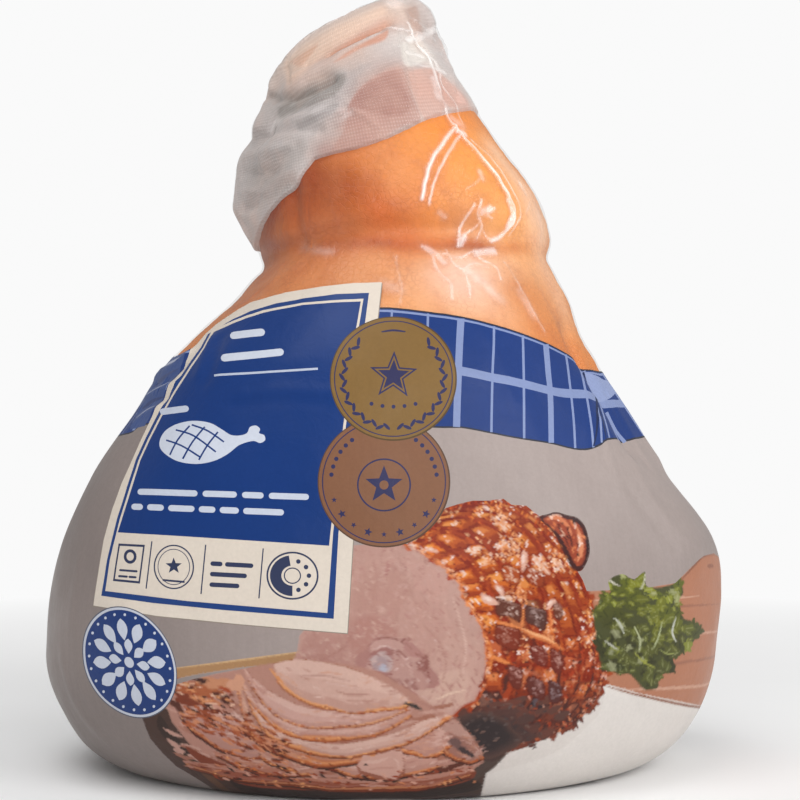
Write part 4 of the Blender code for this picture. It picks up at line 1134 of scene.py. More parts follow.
# bars where words were, each line a run of word-like bars
def word_bars(start, end, height, widths, colour, gap=0.035):
    start, end = np.array(start, float), np.array(end, float)
    total = sum(widths) + gap * (len(widths) - 1)
    at = 0.0
    for w in widths:
        a, b = start + (end - start) * at / total, start + (end - start) * (at + w) / total
        shape("label", colour, capsule(a, b, height))
        at += w + gap


word_bars((230, 336), (265, 332), 7.5, [1.0], OFF_WHITE)
word_bars((221, 358.5), (284, 352), 7.5, [1.0], OFF_WHITE)
shape("label", (196, 204, 222), ribbon([(214, 375.4), (318, 369)], 2.2, smooth=False))
word_bars((160, 412), (189, 408.5), 6.5, [1.0], (204, 211, 228))
# a leg joint sign, filled pale and crossed by six dark lines, stands where the title was
HAM_SIGN = loop([
    (163, 452), (159, 443), (164, 432), (176, 424.5), (193, 421), (210, 423), (222, 429.5), (231, 435), (240, 435.5), (247, 433), (250, 427), (256, 425.5),
    (260, 429), (259, 433), (264, 435), (265, 440), (260, 443), (254, 441), (246, 442.5), (238, 446), (228, 454), (214, 461), (196, 464), (177, 461)])
shape("label", OFF_WHITE, HAM_SIGN)
for path in (
    [(170, 455), (178, 440), (190, 426)], [(183, 459), (193, 442), (205, 427)], [(199, 460), (208, 445), (218, 432)],
    [(166, 440), (182, 446), (200, 457)], [(176, 430), (194, 436), (216, 452)], [(192, 425), (208, 431), (224, 442)],
):
    shape("label", PANEL, ribbon(path, 1.7))
word_bars((137, 491.5), (309, 497), 6.2, [0.42, 0.24, 0.15, 0.28], (208, 215, 230))
word_bars((131, 506.5), (284, 512.5), 6.2, [0.1, 0.14, 0.22, 0.14, 0.16, 0.34], (208, 215, 230))

# the cream foot: dividers and four plain signs
INK = (54, 62, 92)
for path in ([(152, 541.3), (146, 588.6)], [(205.9, 544.8), (201, 594)], [(263.4, 548.4), (259, 598.4)]):
    shape("label", INK, ribbon(path, 1.3, smooth=False))
square = [(118.4, 543.4), (144.8, 544.8), (139.8, 583.6), (112.7, 581)]


def shrink_to(ring, share, centre=None):
    ring = np.array(ring, float)
    centre = ring.mean(axis=0) if centre is None else np.array(centre)
    return centre + (ring - centre) * share


shape("label", INK, filled_in(square))
shape("label", CREAM, filled_in(shrink_to(square, 0.88)))
shape("label", INK, round_ring((130, 556.5), 6.4, 7.2))
shape("label", CREAM, round_ring((130, 556.5), 3.6, 4.2))
word_bars((119, 570), (137.5, 571.4), 2.2, [1.0], INK)
word_bars((118, 576), (136.5, 577.4), 2.2, [0.6, 0.5], INK)
shape("label", INK, round_ring((174, 567), 20.2, 22.2))
shape("label", CREAM, round_ring((174, 567), 18.8, 20.8))
shape("label", INK, round_ring((174, 567), 16.2, 18.0))
shape("label", CREAM, round_ring((174, 567), 15.4, 17.2))
shape("label", INK, star((174, 566), 8.5))
word_bars((162.5, 580), (185, 582), 2.0, [1.0], INK)
for (x, y), wide in (((210.5, 563.5), 43), ((210, 574), 37), ((209.5, 584.5), 30)):
    word_bars((x, y), (x + wide, y + wide * 0.055), 4.6, [0.3, 0.7] if wide > 40 else [1.0], INK, 0.06)
shape("label", INK, round_ring((292.5, 575.7), 26, 24))
shape("label", CREAM, round_ring((292.5, 575.7), 24.2, 22.2))
ARC = np.linspace(0.55 * np.pi, 1.5 * np.pi, 22)
shape("label", INK, filled_in(np.concatenate([
    np.stack([292.5 + 22.4 * np.cos(ARC), 575.7 - 20.4 * np.sin(ARC)], axis=-1), np.stack([292.5 + 11 * np.cos(ARC[::-1]), 575.7 - 10 * np.sin(ARC[::-1])], axis=-1)]), 3))
shape("label", INK, round_ring((292.5, 575.7), 8.6, 8.2))
shape("label", CREAM, round_ring((292.5, 575.7), 7.4, 7.0))
for k in range(5):
    a = -1.2 + k * 0.6
    shape("label", INK, round_ring((292.5 + 16.4 * math.cos(a), 575.7 + 15.2 * math.sin(a)), 2.3, 2.3, count=14))

# -------------------------------------------------------------------------------------------------- seals and badge
def seal(group, centre, rx, ry, metal, dark, signs):
    cx, cy = centre
    shape(group, mix(metal, (40, 34, 30), 0.45), round_ring(centre, rx, ry, count=110))
    shape(group, metal, round_ring((cx - 0.3, cy - 0.3), rx - 1.3, ry - 1.3, count=110))
    shape(group, dark, round_ring(centre, rx * 0.935, ry * 0.935, count=110))
    shape(group, metal, round_ring(centre, rx * 0.918, ry * 0.918, count=110))
    signs(group, cx, cy, rx, ry, metal, dark)


def gold_signs(group, cx, cy, rx, ry, metal, dark):
    # a wreath of small leaves open at the top, and a star inside
    for k in range(18):
        for sense in (-1, 1):
            a = math.radians(90 + sense * (8 + k * 7.6))
            r = 0.775 + 0.035 * (k % 2)
            x, y = cx + rx * r * math.cos(a), cy + ry * r * math.sin(a)
            shape(group, dark, round_ring((x, y), 4.6, 1.7, a + sense * (0.9 if k % 2 else 2.2), 14))
    shape(group, dark, star((cx, cy - 3), 25, 0.03))
    shape(group, metal, star((cx, cy - 3), 20.5, 0.03))
    shape(group, dark, star((cx, cy - 3), 16.5, 0.03))
    for x in (-22, -11, 0, 11, 22):
        shape(group, dark, round_ring((cx + x, cy + 28 - 0.006 * x * x), 2.0, 2.0, count=14))
    shape(group, dark, ribbon([(cx - 12, cy - 47), (cx, cy - 48.5), (cx + 12, cy - 47)], 2.0, (0.6, 0.6)))


def bronze_signs(group, cx, cy, rx, ry, metal, dark):
    for k in range(9):
        a = math.radians(20 + k * 17.5)
        shape(group, dark, star((cx + rx * 0.80 * math.cos(a), cy + ry * 0.80 * math.sin(a)), 4.6 if k % 2 else 3.0, a - math.pi / 2))
    for k in range(6):
        for a in (math.radians(-8 - k * 9), math.radians(188 + k * 9)):
            shape(group, dark, round_ring((cx + rx * 0.80 * math.cos(a), cy + ry * 0.80 * math.sin(a)), 2.2, 2.2, count=14))
    shape(group, dark, round_ring((cx, cy + 3), 27, 26.5, count=60))
    shape(group, metal, round_ring((cx, cy + 3), 25.4, 24.9, count=60))
    shape(group, dark, star((cx, cy + 3), 19.5, 0.0))
    shape(group, metal, round_ring((cx, cy + 3), 4.6, 4.6, count=24))


SEAL_INK = (52, 52, 92)
seal("seal_bronze", (384, 482), 66.3, 65.5, (138, 95, 69), SEAL_INK, bronze_signs)
seal("seal_gold", (393.5, 378.8), 63.5, 62.2, (136, 104, 57), SEAL_INK, gold_signs)

turn = np.linspace(0, 2 * np.pi, 100, endpoint=False)
C0, COS_AXIS, SIN_AXIS = np.array([129.4, 662.3]), np.array([45.3, 0.0]), np.array([11.1, 54.9])


def on_badge(r, a):
    return C0 + np.multiply.outer(r * np.cos(a), COS_AXIS) + np.multiply.outer(r * np.sin(a), SIN_AXIS)


shape("badge", (92, 96, 112), on_badge(1.02, turn))
shape("badge", (206, 210, 222), on_badge(1.0, turn))
shape("badge", (36, 62, 122), on_badge(0.957, turn))
for r0, r1, count, off in ((0.40, 0.80, 12, 0.0), (0.16, 0.44, 8, 0.2)):
    for k in range(count):
        a = 2 * math.pi * k / count + off
        spread = 0.62 * math.pi / count
        t = np.linspace(0, 1, 9)
        side = np.sin(t * np.pi) ** 0.8 * spread * 1.15
        rr = r0 + (r1 - r0) * t
        one = np.stack([rr * np.cos(a + side), rr * np.sin(a + side)], axis=-1)
        two = np.stack([rr * np.cos(a - side), rr * np.sin(a - side)], axis=-1)[::-1][1:-1]
        q = np.concatenate([one, two])
        shape("badge", (208, 214, 228), C0 + q[:, :1] * COS_AXIS + q[:, 1:] * SIN_AXIS)
shape("badge", (208, 214, 228), on_badge(0.10, turn[::5]))
for k in range(24):
    a = 2 * math.pi * (k + 0.5) / 24
    c = C0 + 0.875 * math.cos(a) * COS_AXIS + 0.875 * math.sin(a) * SIN_AXIS
    shape("badge", (208, 214, 228), round_ring(c, 1.3, 1.5, count=10))

# a bare cream panel with a blue head on the side that the photograph doesn't show
def uv_box(a0, a1, h0, h1):
    corners = [(a0, h0), (a1, h0), (a1, h1), (a0, h1)]
    ring = filled_in(corners, 3.0)
    return np.stack([ring[:, 0] * ANGLE_MM, v_of(ring[:, 1])], axis=-1)


shape("label", CREAM, uv_box(38, 88, 22, 106), False)
shape("label", NAVY, uv_box(40, 86, 24, 104), False)
shape("label", CREAM, uv_box(41, 85, 25.5, 102.5), False)
shape("label", PANEL, uv_box(42.5, 83.5, 84, 101), False)
for k, (left, right) in enumerate([(44, 80), (44, 76), (44, 82), (44, 70), (44, 79), (44, 74), (44, 62)]):
    high = 77 - 7.4 * k
    shape("label", INK, uv_box(left, right, high, high + 1.7), False)
shape("label", OFF_WHITE, uv_box(46, 72, 91, 94), False)

# ------------------------------------------------------------------------------------- cutting the regions together
def place_shapes():
    """Moves every outline that is in the frame's pixels on to the film's plane, in one go."""
    todo = [s for s in SHAPES + PAINT if s[3]]
    uv = on_film(np.concatenate([s[2] for s in todo]))
    at = 0
    for s in todo:
        s[2] = uv[at : at + len(s[2])]
        at += len(s[2])


def inside_ring(points, ring):
    """Which points lie inside this outline."""
    found = np.zeros(len(points), bool)
    low, high = ring.min(axis=0), ring.max(axis=0)
    near = np.where((points[:, 0] > low[0]) & (points[:, 0] < high[0]) & (points[:, 1] > low[1]) & (points[:, 1] < high[1]))[0]
    if not len(near):
        return found
    x, y = points[near, 0], points[near, 1]
    odd = np.zeros(len(near), bool)
    for (ax, ay), (bx, by) in zip(ring, np.roll(ring, -1, axis=0)):
        if ay == by:
            continue
        odd ^= ((ay > y) != (by > y)) & (x < (bx - ax) * (y - ay) / (by - ay) + ax)
    found[near] = odd
    return found


def painted(points):
    """The roast's colour at these places: the topmost stroke there, over a few nearby taps so that edges are soft."""
    total = np.zeros((len(points), 3))
    taps = [(-0.13, -0.08), (0.13, -0.08), (0.0, 0.15)]
    for tap in taps:
        q = points + tap
        colour = np.tile(ink(*GREY), (len(q), 1))
        for _, tone, ring, _ in PAINT:
            colour[inside_ring(q, ring)] = tone
        total += colour
    return total / len(taps)


def cut_print():
    """(points on the film's plane, triangles, region of each triangle)."""
    verts, edges = [], []
    at = 0
    for _, _, ring, _ in SHAPES:
        ring = np.clip(ring, [U_LOW, 0.0], [U_HIGH, 400.0])
        if np.linalg.norm(ring - np.roll(ring, 1, axis=0), axis=1).max() > 6:
            ring = filled_in(ring, 2.0)
        gap = np.linalg.norm(ring - np.roll(ring, 1, axis=0), axis=1) > 0.03
        ring = ring[gap]
        verts.append(ring)
        edges += [(at + k, at + (k + 1) % len(ring)) for k in range(len(ring))]
        at += len(ring)
    edge = np.concatenate(verts)
    tree = kdtree.KDTree(len(edge))
    for i, (u, v) in enumerate(edge):
        tree.insert((u, v, 0.0), i)
    tree.balance()
    grid = []
    for low, high, step in ((U_LOW, -196 * ANGLE_MM, 2.6), (-196 * ANGLE_MM, 8 * ANGLE_MM, 1.15), (8 * ANGLE_MM, U_HIGH, 2.6)):
        us = np.arange(low + step / 2, high, step)
        vs = np.arange(step / 2, 182, step)
        u, v = np.meshgrid(us, vs)
        u = u + (np.arange(len(vs)) % 2)[:, None] * step / 2
        grid.append(np.stack([u.ravel(), v.ravel()], axis=-1))
    grid = np.concatenate(grid)
    roast = [s[2] for s in SHAPES if s[0] == "picture"]
    low, high = np.min([r.min(axis=0) for r in roast], axis=0), np.max([r.max(axis=0) for r in roast], axis=0)
    step = 0.48
    u, v = np.meshgrid(np.arange(low[0], high[0], step), np.arange(max(low[1], 0.3), high[1], step * 0.87))
    fine = np.stack([(u + (np.arange(len(u)) % 2)[:, None] * step / 2).ravel(), v.ravel()], axis=-1)
    covered = np.zeros(len(fine), bool)
    for ring in roast:
        covered |= inside_ring(fine, ring)
    near = np.zeros(len(grid), bool)
    for ring in roast:
        near |= inside_ring(grid, ring)
    grid = np.concatenate([grid[~near], fine[covered]])
    grid = grid[(grid[:, 0] > U_LOW + 0.5) & (grid[:, 0] < U_HIGH - 0.5)]
    far = np.array([tree.find((u, v, 0.0))[2] for u, v in grid]) > 0.3
    verts.append(grid[far])
    points = np.concatenate(verts)
    out = delaunay_2d_cdt([Vector(p) for p in points], edges, [], 0, 1e-4, False)
    found = np.array([tuple(v) for v in out[0]])
    tri = np.array([t for t in out[2] if len(t) == 3])
    middle = found[tri].mean(axis=1)
    region = np.full(len(tri), -1)
    for k, (_, _, ring, _) in enumerate(SHAPES):
        region[inside_ring(middle, np.clip(ring, [U_LOW, 0.0], [U_HIGH, 400.0]))] = k
    tri, region = tri[region >= 0], region[region >= 0]
    a, b, c = (found[tri[:, k]] for k in range(3))
    area = (b[:, 0] - a[:, 0]) * (c[:, 1] - a[:, 1]) - (c[:, 0] - a[:, 0]) * (b[:, 1] - a[:, 1])
    solid = np.abs(area) > 1e-5
    tri, region, area = tri[solid], region[solid], area[solid]
    tri[area < 0] = tri[area < 0][:, ::-1]
    return found, tri, region


place_shapes()
PRINT_UV, PRINT_TRI, PRINT_REGION = cut_print()


# -------------------------------------------------------------------------------------------------------- materials
class Nodes:
    """Short calls for building one material's nodes."""

    def __init__(self, name):
        self.material = bpy.data.materials.new(name)
        self.material.use_nodes = True
        self.tree = self.material.node_tree
        self.tree.nodes.clear()
        self.out = self.add("OutputMaterial")

    def add(self, kind, **settings):
        node = self.tree.nodes.new("ShaderNode" + kind)
        for key, value in settings.items():
            setattr(node, key, value)
        return node

    def put(self, node, **inputs):
        for key, value in inputs.items():
            socket = node.inputs[key.replace("_", " ")] if not key.startswith("i") or not key[1:].isdigit() else node.inputs[int(key[1:])]
            if isinstance(value, bpy.types.NodeSocket):
                self.tree.links.new(value, socket)
            elif isinstance(value, (tuple, list, np.ndarray)) and len(value) == 3 and socket.type == "RGBA":
                socket.default_value = (*[float(x) for x in value], 1.0)
            else:
                socket.default_value = value
        return node

    def attribute(self, name, output="Color"):
        return self.add("Attribute", attribute_name=name).outputs[output]

    def position(self):
        return self.add("TexCoord").outputs["Object"]

    def noise(self, scale, detail=3.0, rough=0.5, vector=None, distortion=0.0):
        node = self.add("TexNoise")
        self.put(node, Scale=scale, Detail=detail, Roughness=rough, Distortion=distortion)
        self.tree.links.new(vector or self.position(), node.inputs["Vector"])
        return node.outputs["Fac"]

    def stretch(self, x, y, z, vector=None):
        node = self.add("Mapping")
        self.tree.links.new(vector or self.position(), node.inputs["Vector"])
        node.inputs["Scale"].default_value = (x, y, z)
        return node.outputs["Vector"]

    def range(self, value, low, high, to_low=0.0, to_high=1.0):
        node = self.add("MapRange")
        self.put(node, i0=value, i1=low, i2=high, i3=to_low, i4=to_high)
        return node.outputs["Result"]

    def math(self, operation, a, b=0.0, clamp=False):
        node = self.add("Math", operation=operation, use_clamp=clamp)
        self.put(node, i0=a, i1=b)
        return node.outputs[0]

    def blend(self, factor, a, b, mode="MIX"):
        node = self.add("Mix", data_type="RGBA", blend_type=mode)
        self.put(node, i0=factor, i6=a, i7=b)
        return node.outputs[2]

    def bump(self, height, distance, strength=1.0, normal=None):
        node = self.add("Bump")
        self.put(node, Height=height, Distance=distance, Strength=strength)
        if normal is not None:
            self.tree.links.new(normal, node.inputs["Normal"])
        return node.outputs["Normal"]

    def principled(self, **inputs):
        return self.put(self.add("BsdfPrincipled"), **inputs)

    def finish(self, shader):
        self.tree.links.new(shader.outputs[0], self.out.inputs["Surface"])
        return self.material


def times(m, colour, amount):
    """colour scaled by a grey amount."""
    node = m.add("VectorMath", operation="SCALE")
    m.tree.links.new(colour, node.inputs[0])
    m.put(node, Scale=amount)
    return node.outputs[0]


def printed(name, weave=0.0, cloud=0.05, rough=0.40, streak=0.0, coat=0.04, depth=0.82):
    """Ink under film: the ink's own colour, uneven by a little, with fine crinkles in the film over it."""
    m = Nodes(name)
    colour = m.attribute("ink")
    shade = m.range(m.noise(26.0, 4.0, 0.55), 0.25, 0.75, depth - cloud, depth + cloud)
    fine = m.range(m.noise(900.0, 2.0, 0.6), 0.3, 0.7, 0.972, 1.028)
    shade = m.math("MULTIPLY", shade, fine)
    if streak:
        lines = m.noise(1.0, 3.0, 0.6, m.stretch(420, 420, 22))
        shade = m.math("MULTIPLY", shade, m.range(lines, 0.25, 0.75, 1 - streak, 1 + streak))
    colour = times(m, colour, shade)
    crinkle = m.noise(150.0, 4.0, 0.6, distortion=0.6)
    normal = m.bump(crinkle, 0.0006, 0.35)
    soft = m.range(m.noise(60.0, 3.0), 0.3, 0.7, rough - 0.05, rough + 0.08)
    shader = m.principled(Base_Color=colour, Roughness=soft, Normal=normal)
    shader.inputs["Specular IOR Level"].default_value = 0.17
    shader.inputs["Coat Weight"].default_value = coat
    shader.inputs["Coat Roughness"].default_value = 0.12
    return m.finish(shader)


# ----------------------------------------------------------------------------------------------------------- pieces
def make_piece(name, points, faces, material, smooth=True):
    mesh = bpy.data.meshes.new(name)
    mesh.from_pydata((np.asarray(points) * MM).tolist(), [], [list(map(int, f)) for f in faces])
    mesh.polygons.foreach_set("use_smooth", [smooth] * len(mesh.polygons))
    mesh.materials.append(material)
    mesh.update()
    piece = bpy.data.objects.new(name, mesh)
    bpy.context.scene.collection.objects.link(piece)
    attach(piece, "root")
    return piece


def give_colour(mesh, name, values):
    layer = mesh.color_attributes.new(name, "FLOAT_COLOR", "POINT")
    layer.data.foreach_set("color", np.concatenate([values, np.ones((len(values), 1))], axis=1).astype(np.float32).ravel())


def give_value(mesh, name, values):
    layer = mesh.attributes.new(name, "FLOAT", "POINT")
    layer.data.foreach_set("value", np.asarray(values, np.float32))


def give_map(mesh, uv):
    """An unrolled map for each point, over the whole square."""
    uv = (uv - uv.min(axis=0)) / (uv.max(axis=0) - uv.min(axis=0)).max()
    layer = mesh.uv_layers.new(name="OFBake")
    index = np.empty(len(mesh.loops), np.int32)
    mesh.loops.foreach_get("vertex_index", index)
    layer.data.foreach_set("uv", uv[index].astype(np.float32).ravel())


def face_normals_at(points, tri, count):
    a, b, c = (points[tri[:, k]] for k in range(3))
    n = np.cross(b - a, c - a)
    total = np.zeros((count, 3))
    for k in range(3):
        np.add.at(total, tri[:, k], n)
    return total / np.maximum(np.linalg.norm(total, axis=1), 1e-12)[:, None]


PRINT_AT = film_point(PRINT_UV)
# the seam at the back: both ends of the plane share their directions
PRINT_NORMAL = face_normals_at(PRINT_AT, PRINT_TRI, len(PRINT_AT))
if (PRINT_NORMAL * out_of(PRINT_UV)).sum() < 0:
    PRINT_TRI = PRINT_TRI[:, ::-1]
    PRINT_NORMAL = -PRINT_NORMAL
low_side = np.where(PRINT_UV[:, 0] < U_LOW + 0.01)[0]
high_side = np.where(PRINT_UV[:, 0] > U_HIGH - 0.01)[0]
for i in low_side:
    j = high_side[np.argmin(np.abs(PRINT_UV[high_side, 1] - PRINT_UV[i, 1]))]
    both = PRINT_NORMAL[i] + PRINT_NORMAL[j]
    PRINT_NORMAL[i] = PRINT_NORMAL[j] = both / np.linalg.norm(both)

PRINTED = {
    "ground": printed("printed_grey_film", cloud=0.045, streak=0.035),
    "band": printed("printed_check_film", cloud=0.06, streak=0.02),
    "label": printed("printed_label_film", cloud=0.03, rough=0.36),
    "seal_gold": printed("gold_seal_print", cloud=0.05, streak=0.03, rough=0.42),
    "seal_bronze": printed("bronze_seal_print", cloud=0.05, streak=0.03, rough=0.42),
    "badge": printed("round_badge_print", cloud=0.03, rough=0.36),
    "picture": printed("printed_roast_film", cloud=0.05, streak=0.015),
}
GROUPS = np.array([s[0] for s in SHAPES])
COLOURS = np.array([s[1] for s in SHAPES])
PRINT_PIECES = {}
for group, material in PRINTED.items():
    mine = PRINT_TRI[GROUPS[PRINT_REGION] == group]
    tones = COLOURS[PRINT_REGION[GROUPS[PRINT_REGION] == group]]
    used, index = np.unique(mine, return_inverse=True)
    index = index.reshape(mine.shape)
    piece = make_piece("print_" + group, PRINT_AT[used], index, material)
    mesh = piece.data
    if group == "picture":
        give_colour(mesh, "ink", painted(PRINT_UV[used]))
    elif group == "ground":
        # the printed wall behind the joint: paler to the right, darker low on the left; the darkening towards the left
        # is partly the print's own tone and partly painted shade of the side away from the lamps
        spot = PRINT_AT[used]
        dark = smooth_step(-spot[:, 0], -10, 95) * 0.30 + smooth_step(70 - spot[:, 2], 0, 70) * 0.10 + 0.05 * lattice_noise(spot, 38.0, 51)
        dark += smooth_step(spot[:, 0], 20, 90) * smooth_step(112 - spot[:, 2], 0, 50) * 0.16
        give_colour(mesh, "ink", np.tile(ink(*GREY), (len(used), 1)) * (1.02 - dark)[:, None])
    else:
        layer = mesh.color_attributes.new("ink", "FLOAT_COLOR", "CORNER")
        corner = np.repeat(np.concatenate([tones, np.ones((len(tones), 1))], axis=1), 3, axis=0)
        layer.data.foreach_set("color", corner.astype(np.float32).ravel())
    give_map(mesh, PRINT_UV[used])
    mesh.normals_split_custom_set_from_vertices(PRINT_NORMAL[used].tolist())
    PRINT_PIECES[group] = piece


# ------------------------------------------------------------------------------------------------ skin, cloth, film
def ring_grid(angles, rows):
    """Places on the film's plane, row by row (rows holds one v for each angle), and the quads between them, closed round the leg."""
    count = len(angles)
    uv = np.concatenate([np.stack([angles * ANGLE_MM, v], axis=-1) for v in rows])
    i = np.arange(count)
    quads = []
    for k in range(len(rows) - 1):
        a, b = k * count + i, k * count + (i + 1) % count
        quads.append(np.stack([a, b, b + count, a + count], axis=-1))
    return uv, np.concatenate(quads)


def round_angles(front, back):
    """Angles round the leg, closer together on the side that the camera sees."""
    return np.concatenate([np.arange(-200, 20, front), np.arange(20, 160, back)])


def tinted(points, base, tints):
    """Soft patches of colour over a base, own tones and painted light alike: place, radius in mm, colour, strength."""
    total = np.tile(ink(*base), (len(points), 1))
    for place, radius, colour, strength in tints:
        steps = np.atleast_2d(place)
        steps = np.concatenate([steps, steps]) if len(steps) == 1 else steps
        share = strength * np.exp(-((distance_to(points, steps, 3 * radius) / radius) ** 2))[:, None]
        total = total * (1 - share) + ink(*colour) * share
    return total


def at_px(*points):
    return plain(on_film(np.array(points, float)))


def at_wall(*points):
    return along(points, 6) if len(points) > 2 else leg_wall(np.radians(np.array([p[0] for p in points], float)), np.array([p[1] for p in points], float))


# skin colour patches: place, radius in mm, colour, strength; besides the skin's own tones, some are painted light and
# shade, as marked
SKIN_TONES_AND_PAINTED_LIGHT = [
    (at_px((470, 150), (500, 200), (520, 250)), 22, (242, 172, 108), 0.85),
    # painted light: pale peach at the right edge, the sheen of the side facing the lamps
    (at_px((545, 200), (548, 250), (560, 300)), 13, (250, 200, 168), 0.95),
    (at_px((496, 150), (520, 180), (536, 215)), 9, (252, 202, 172), 0.9),
    (at_px((352, 160), (380, 215), (410, 225)), 22, (186, 90, 32), 0.88),
    (at_px((420, 150), (440, 200)), 16, (238, 158, 92), 0.75),
    # partly the skin's own darker tone and partly painted shade of the left flank, deepest under the cloth's hanging
    # hem
    (at_px((330, 165), (316, 220)), 20, (150, 68, 36), 0.92),
    (at_px((280, 205), (262, 235)), 15, (122, 50, 34), 0.95),
    (at_px((250, 250), (262, 262)), 12, (150, 82, 60), 0.8),
    (at_px((290, 250), (320, 252)), 12, (176, 96, 62), 0.7),
    (at_px((236, 290), (262, 284)), 18, (186, 124, 104), 0.8),
    (at_px((300, 280), (340, 270)), 18, (204, 132, 96), 0.8),
    (at_px((380, 268), (430, 276)), 16, (214, 146, 108), 0.8),
    (at_px((400, 300), (450, 308)), 12, (232, 168, 126), 0.7),
    # painted sheen: pale below the waist crease
    (at_px((470, 275), (510, 290)), 18, (250, 212, 190), 1.0),
    (at_px((540, 300), (560, 335)), 15, (206, 138, 98), 0.85),
    (at_px((556, 350), (578, 352)), 8, (206, 120, 78), 0.6),
    (at_px((520, 300), (540, 330)), 12, (214, 134, 86), 0.6),
    # painted shade in the waist crease
    (at_px((350, 240), (420, 243), (480, 244)), 3.0, (160, 68, 40), 0.8),
    (at_px((362, 241), (400, 243), (450, 245), (500, 246)), 1.3, (110, 44, 28), 0.75),
    (at_px((384, 214), (404, 224), (410, 232)), 9, (198, 94, 20), 0.8),
    # painted shade under the cloth's hem on the left, and in the fold that runs down from it
    (at_px((272, 196), (286, 186), (300, 170)), 9, (150, 60, 34), 0.8),
    (at_px((305, 190), (307, 215), (309, 240)), 1.6, (136, 58, 38), 0.6),
    (at_px((340, 150), (372, 158), (400, 170)), 8, (222, 136, 88), 0.5),
    (at_px((300, 214), (330, 236)), 9, (188, 102, 70), 0.6),
    # painted shade along the waist crease, left and right
    (at_px((262, 246), (310, 243), (350, 240)), 2.6, (140, 66, 46), 0.55),
    (at_px((425, 240), (500, 247), (540, 246)), 2.6, (196, 102, 60), 0.5),
    (at_px((415, 205), (440, 225)), 8, (226, 132, 54), 0.5),
    (at_px((447, 130), (470, 118)), 9, (228, 140, 84), 0.6),
    (at_px((380, 150), (400, 165)), 8, (226, 150, 102), 0.6),
    (at_wall((60, 190), (100, 200), (140, 190)), 30, (196, 108, 64), 0.7),
    (at_wall((40, 160), (90, 165), (140, 160)), 24, (222, 150, 104), 0.6),
    (at_wall((30, 225), (80, 230)), 20, (226, 146, 92), 0.6),
]
angles = round_angles(0.75, 2.0)
hem_v = v_of(hem_height(angles))
low_v = v_of(np.interp(((angles + 270) % 360) - 270, *np.array(BAND_TOP, float).T)) - 9
skin_rows = [low_v + (V_TOP + END_V - low_v) * t for t in np.concatenate([np.linspace(0, 0.985, 190), [1.0]])]
uv, quads = ring_grid(angles, skin_rows)
p = plain(uv)
lumps = 0.10 * lattice_noise(p, 1.6, 21) + 0.16 * lattice_noise(p, 4.5, 22)
skin_off = relief(p, LEG_RELIEF) - 0.75 + lumps - 1.1 * smooth_step((low_v + 9)[None].repeat(len(skin_rows), 0).ravel() - uv[:, 1], 0.5, 4.0)
skin_at = p + out_of(uv) * skin_off[:, None]

m = Nodes("cured_ham_skin")
colour = m.attribute("tone")
patches = m.noise(42.0, 5.0, 0.62, distortion=0.4)
colour = m.blend(m.range(patches, 0.42, 0.72, 0.0, 0.30), colour, ink(230, 150, 96), "MIX")
deep = m.noise(75.0, 4.0, 0.6, distortion=0.5)
colour = m.blend(m.range(deep, 0.5, 0.78, 0.0, 0.35), colour, ink(176, 80, 40), "MIX")
pores = m.add("TexVoronoi", feature="DISTANCE_TO_EDGE")
m.put(pores, Vector=m.position(), Scale=520.0)
crackle = m.range(pores.outputs["Distance"], 0.0, 0.09, 1.0, 0.0)
mottle = m.math("MULTIPLY", crackle, m.range(m.noise(58.0, 2.0), 0.48, 0.66))
colour = m.blend(m.math("MULTIPLY", mottle, 0.28), colour, ink(150, 70, 40), "MIX")
colour = times(m, colour, m.range(m.noise(700.0, 2.0), 0.3, 0.7, 0.96, 1.04))
height = m.math("ADD", m.math("MULTIPLY", crackle, -0.3), m.noise(330.0, 3.0))
shader = m.principled(Base_Color=colour, Roughness=m.range(patches, 0.3, 0.7, 0.34, 0.52), Normal=m.bump(height, 0.0004, 0.5))
skin = make_piece("ham_skin", skin_at, quads, m.finish(shader))
tone = tinted(skin_at, (218, 138, 84), SKIN_TONES_AND_PAINTED_LIGHT)
rich = np.clip((0.5 - tone[:, 2:] / tone[:, :1]) / 0.4, 0, 1)
give_colour(skin.data, "tone", np.minimum(tone * (1 + rich * [0.08, -0.06, -0.52] + (1 - rich) * [0.02, -0.02, -0.02]), 0.94))
give_map(skin.data, uv)
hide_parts("ham")

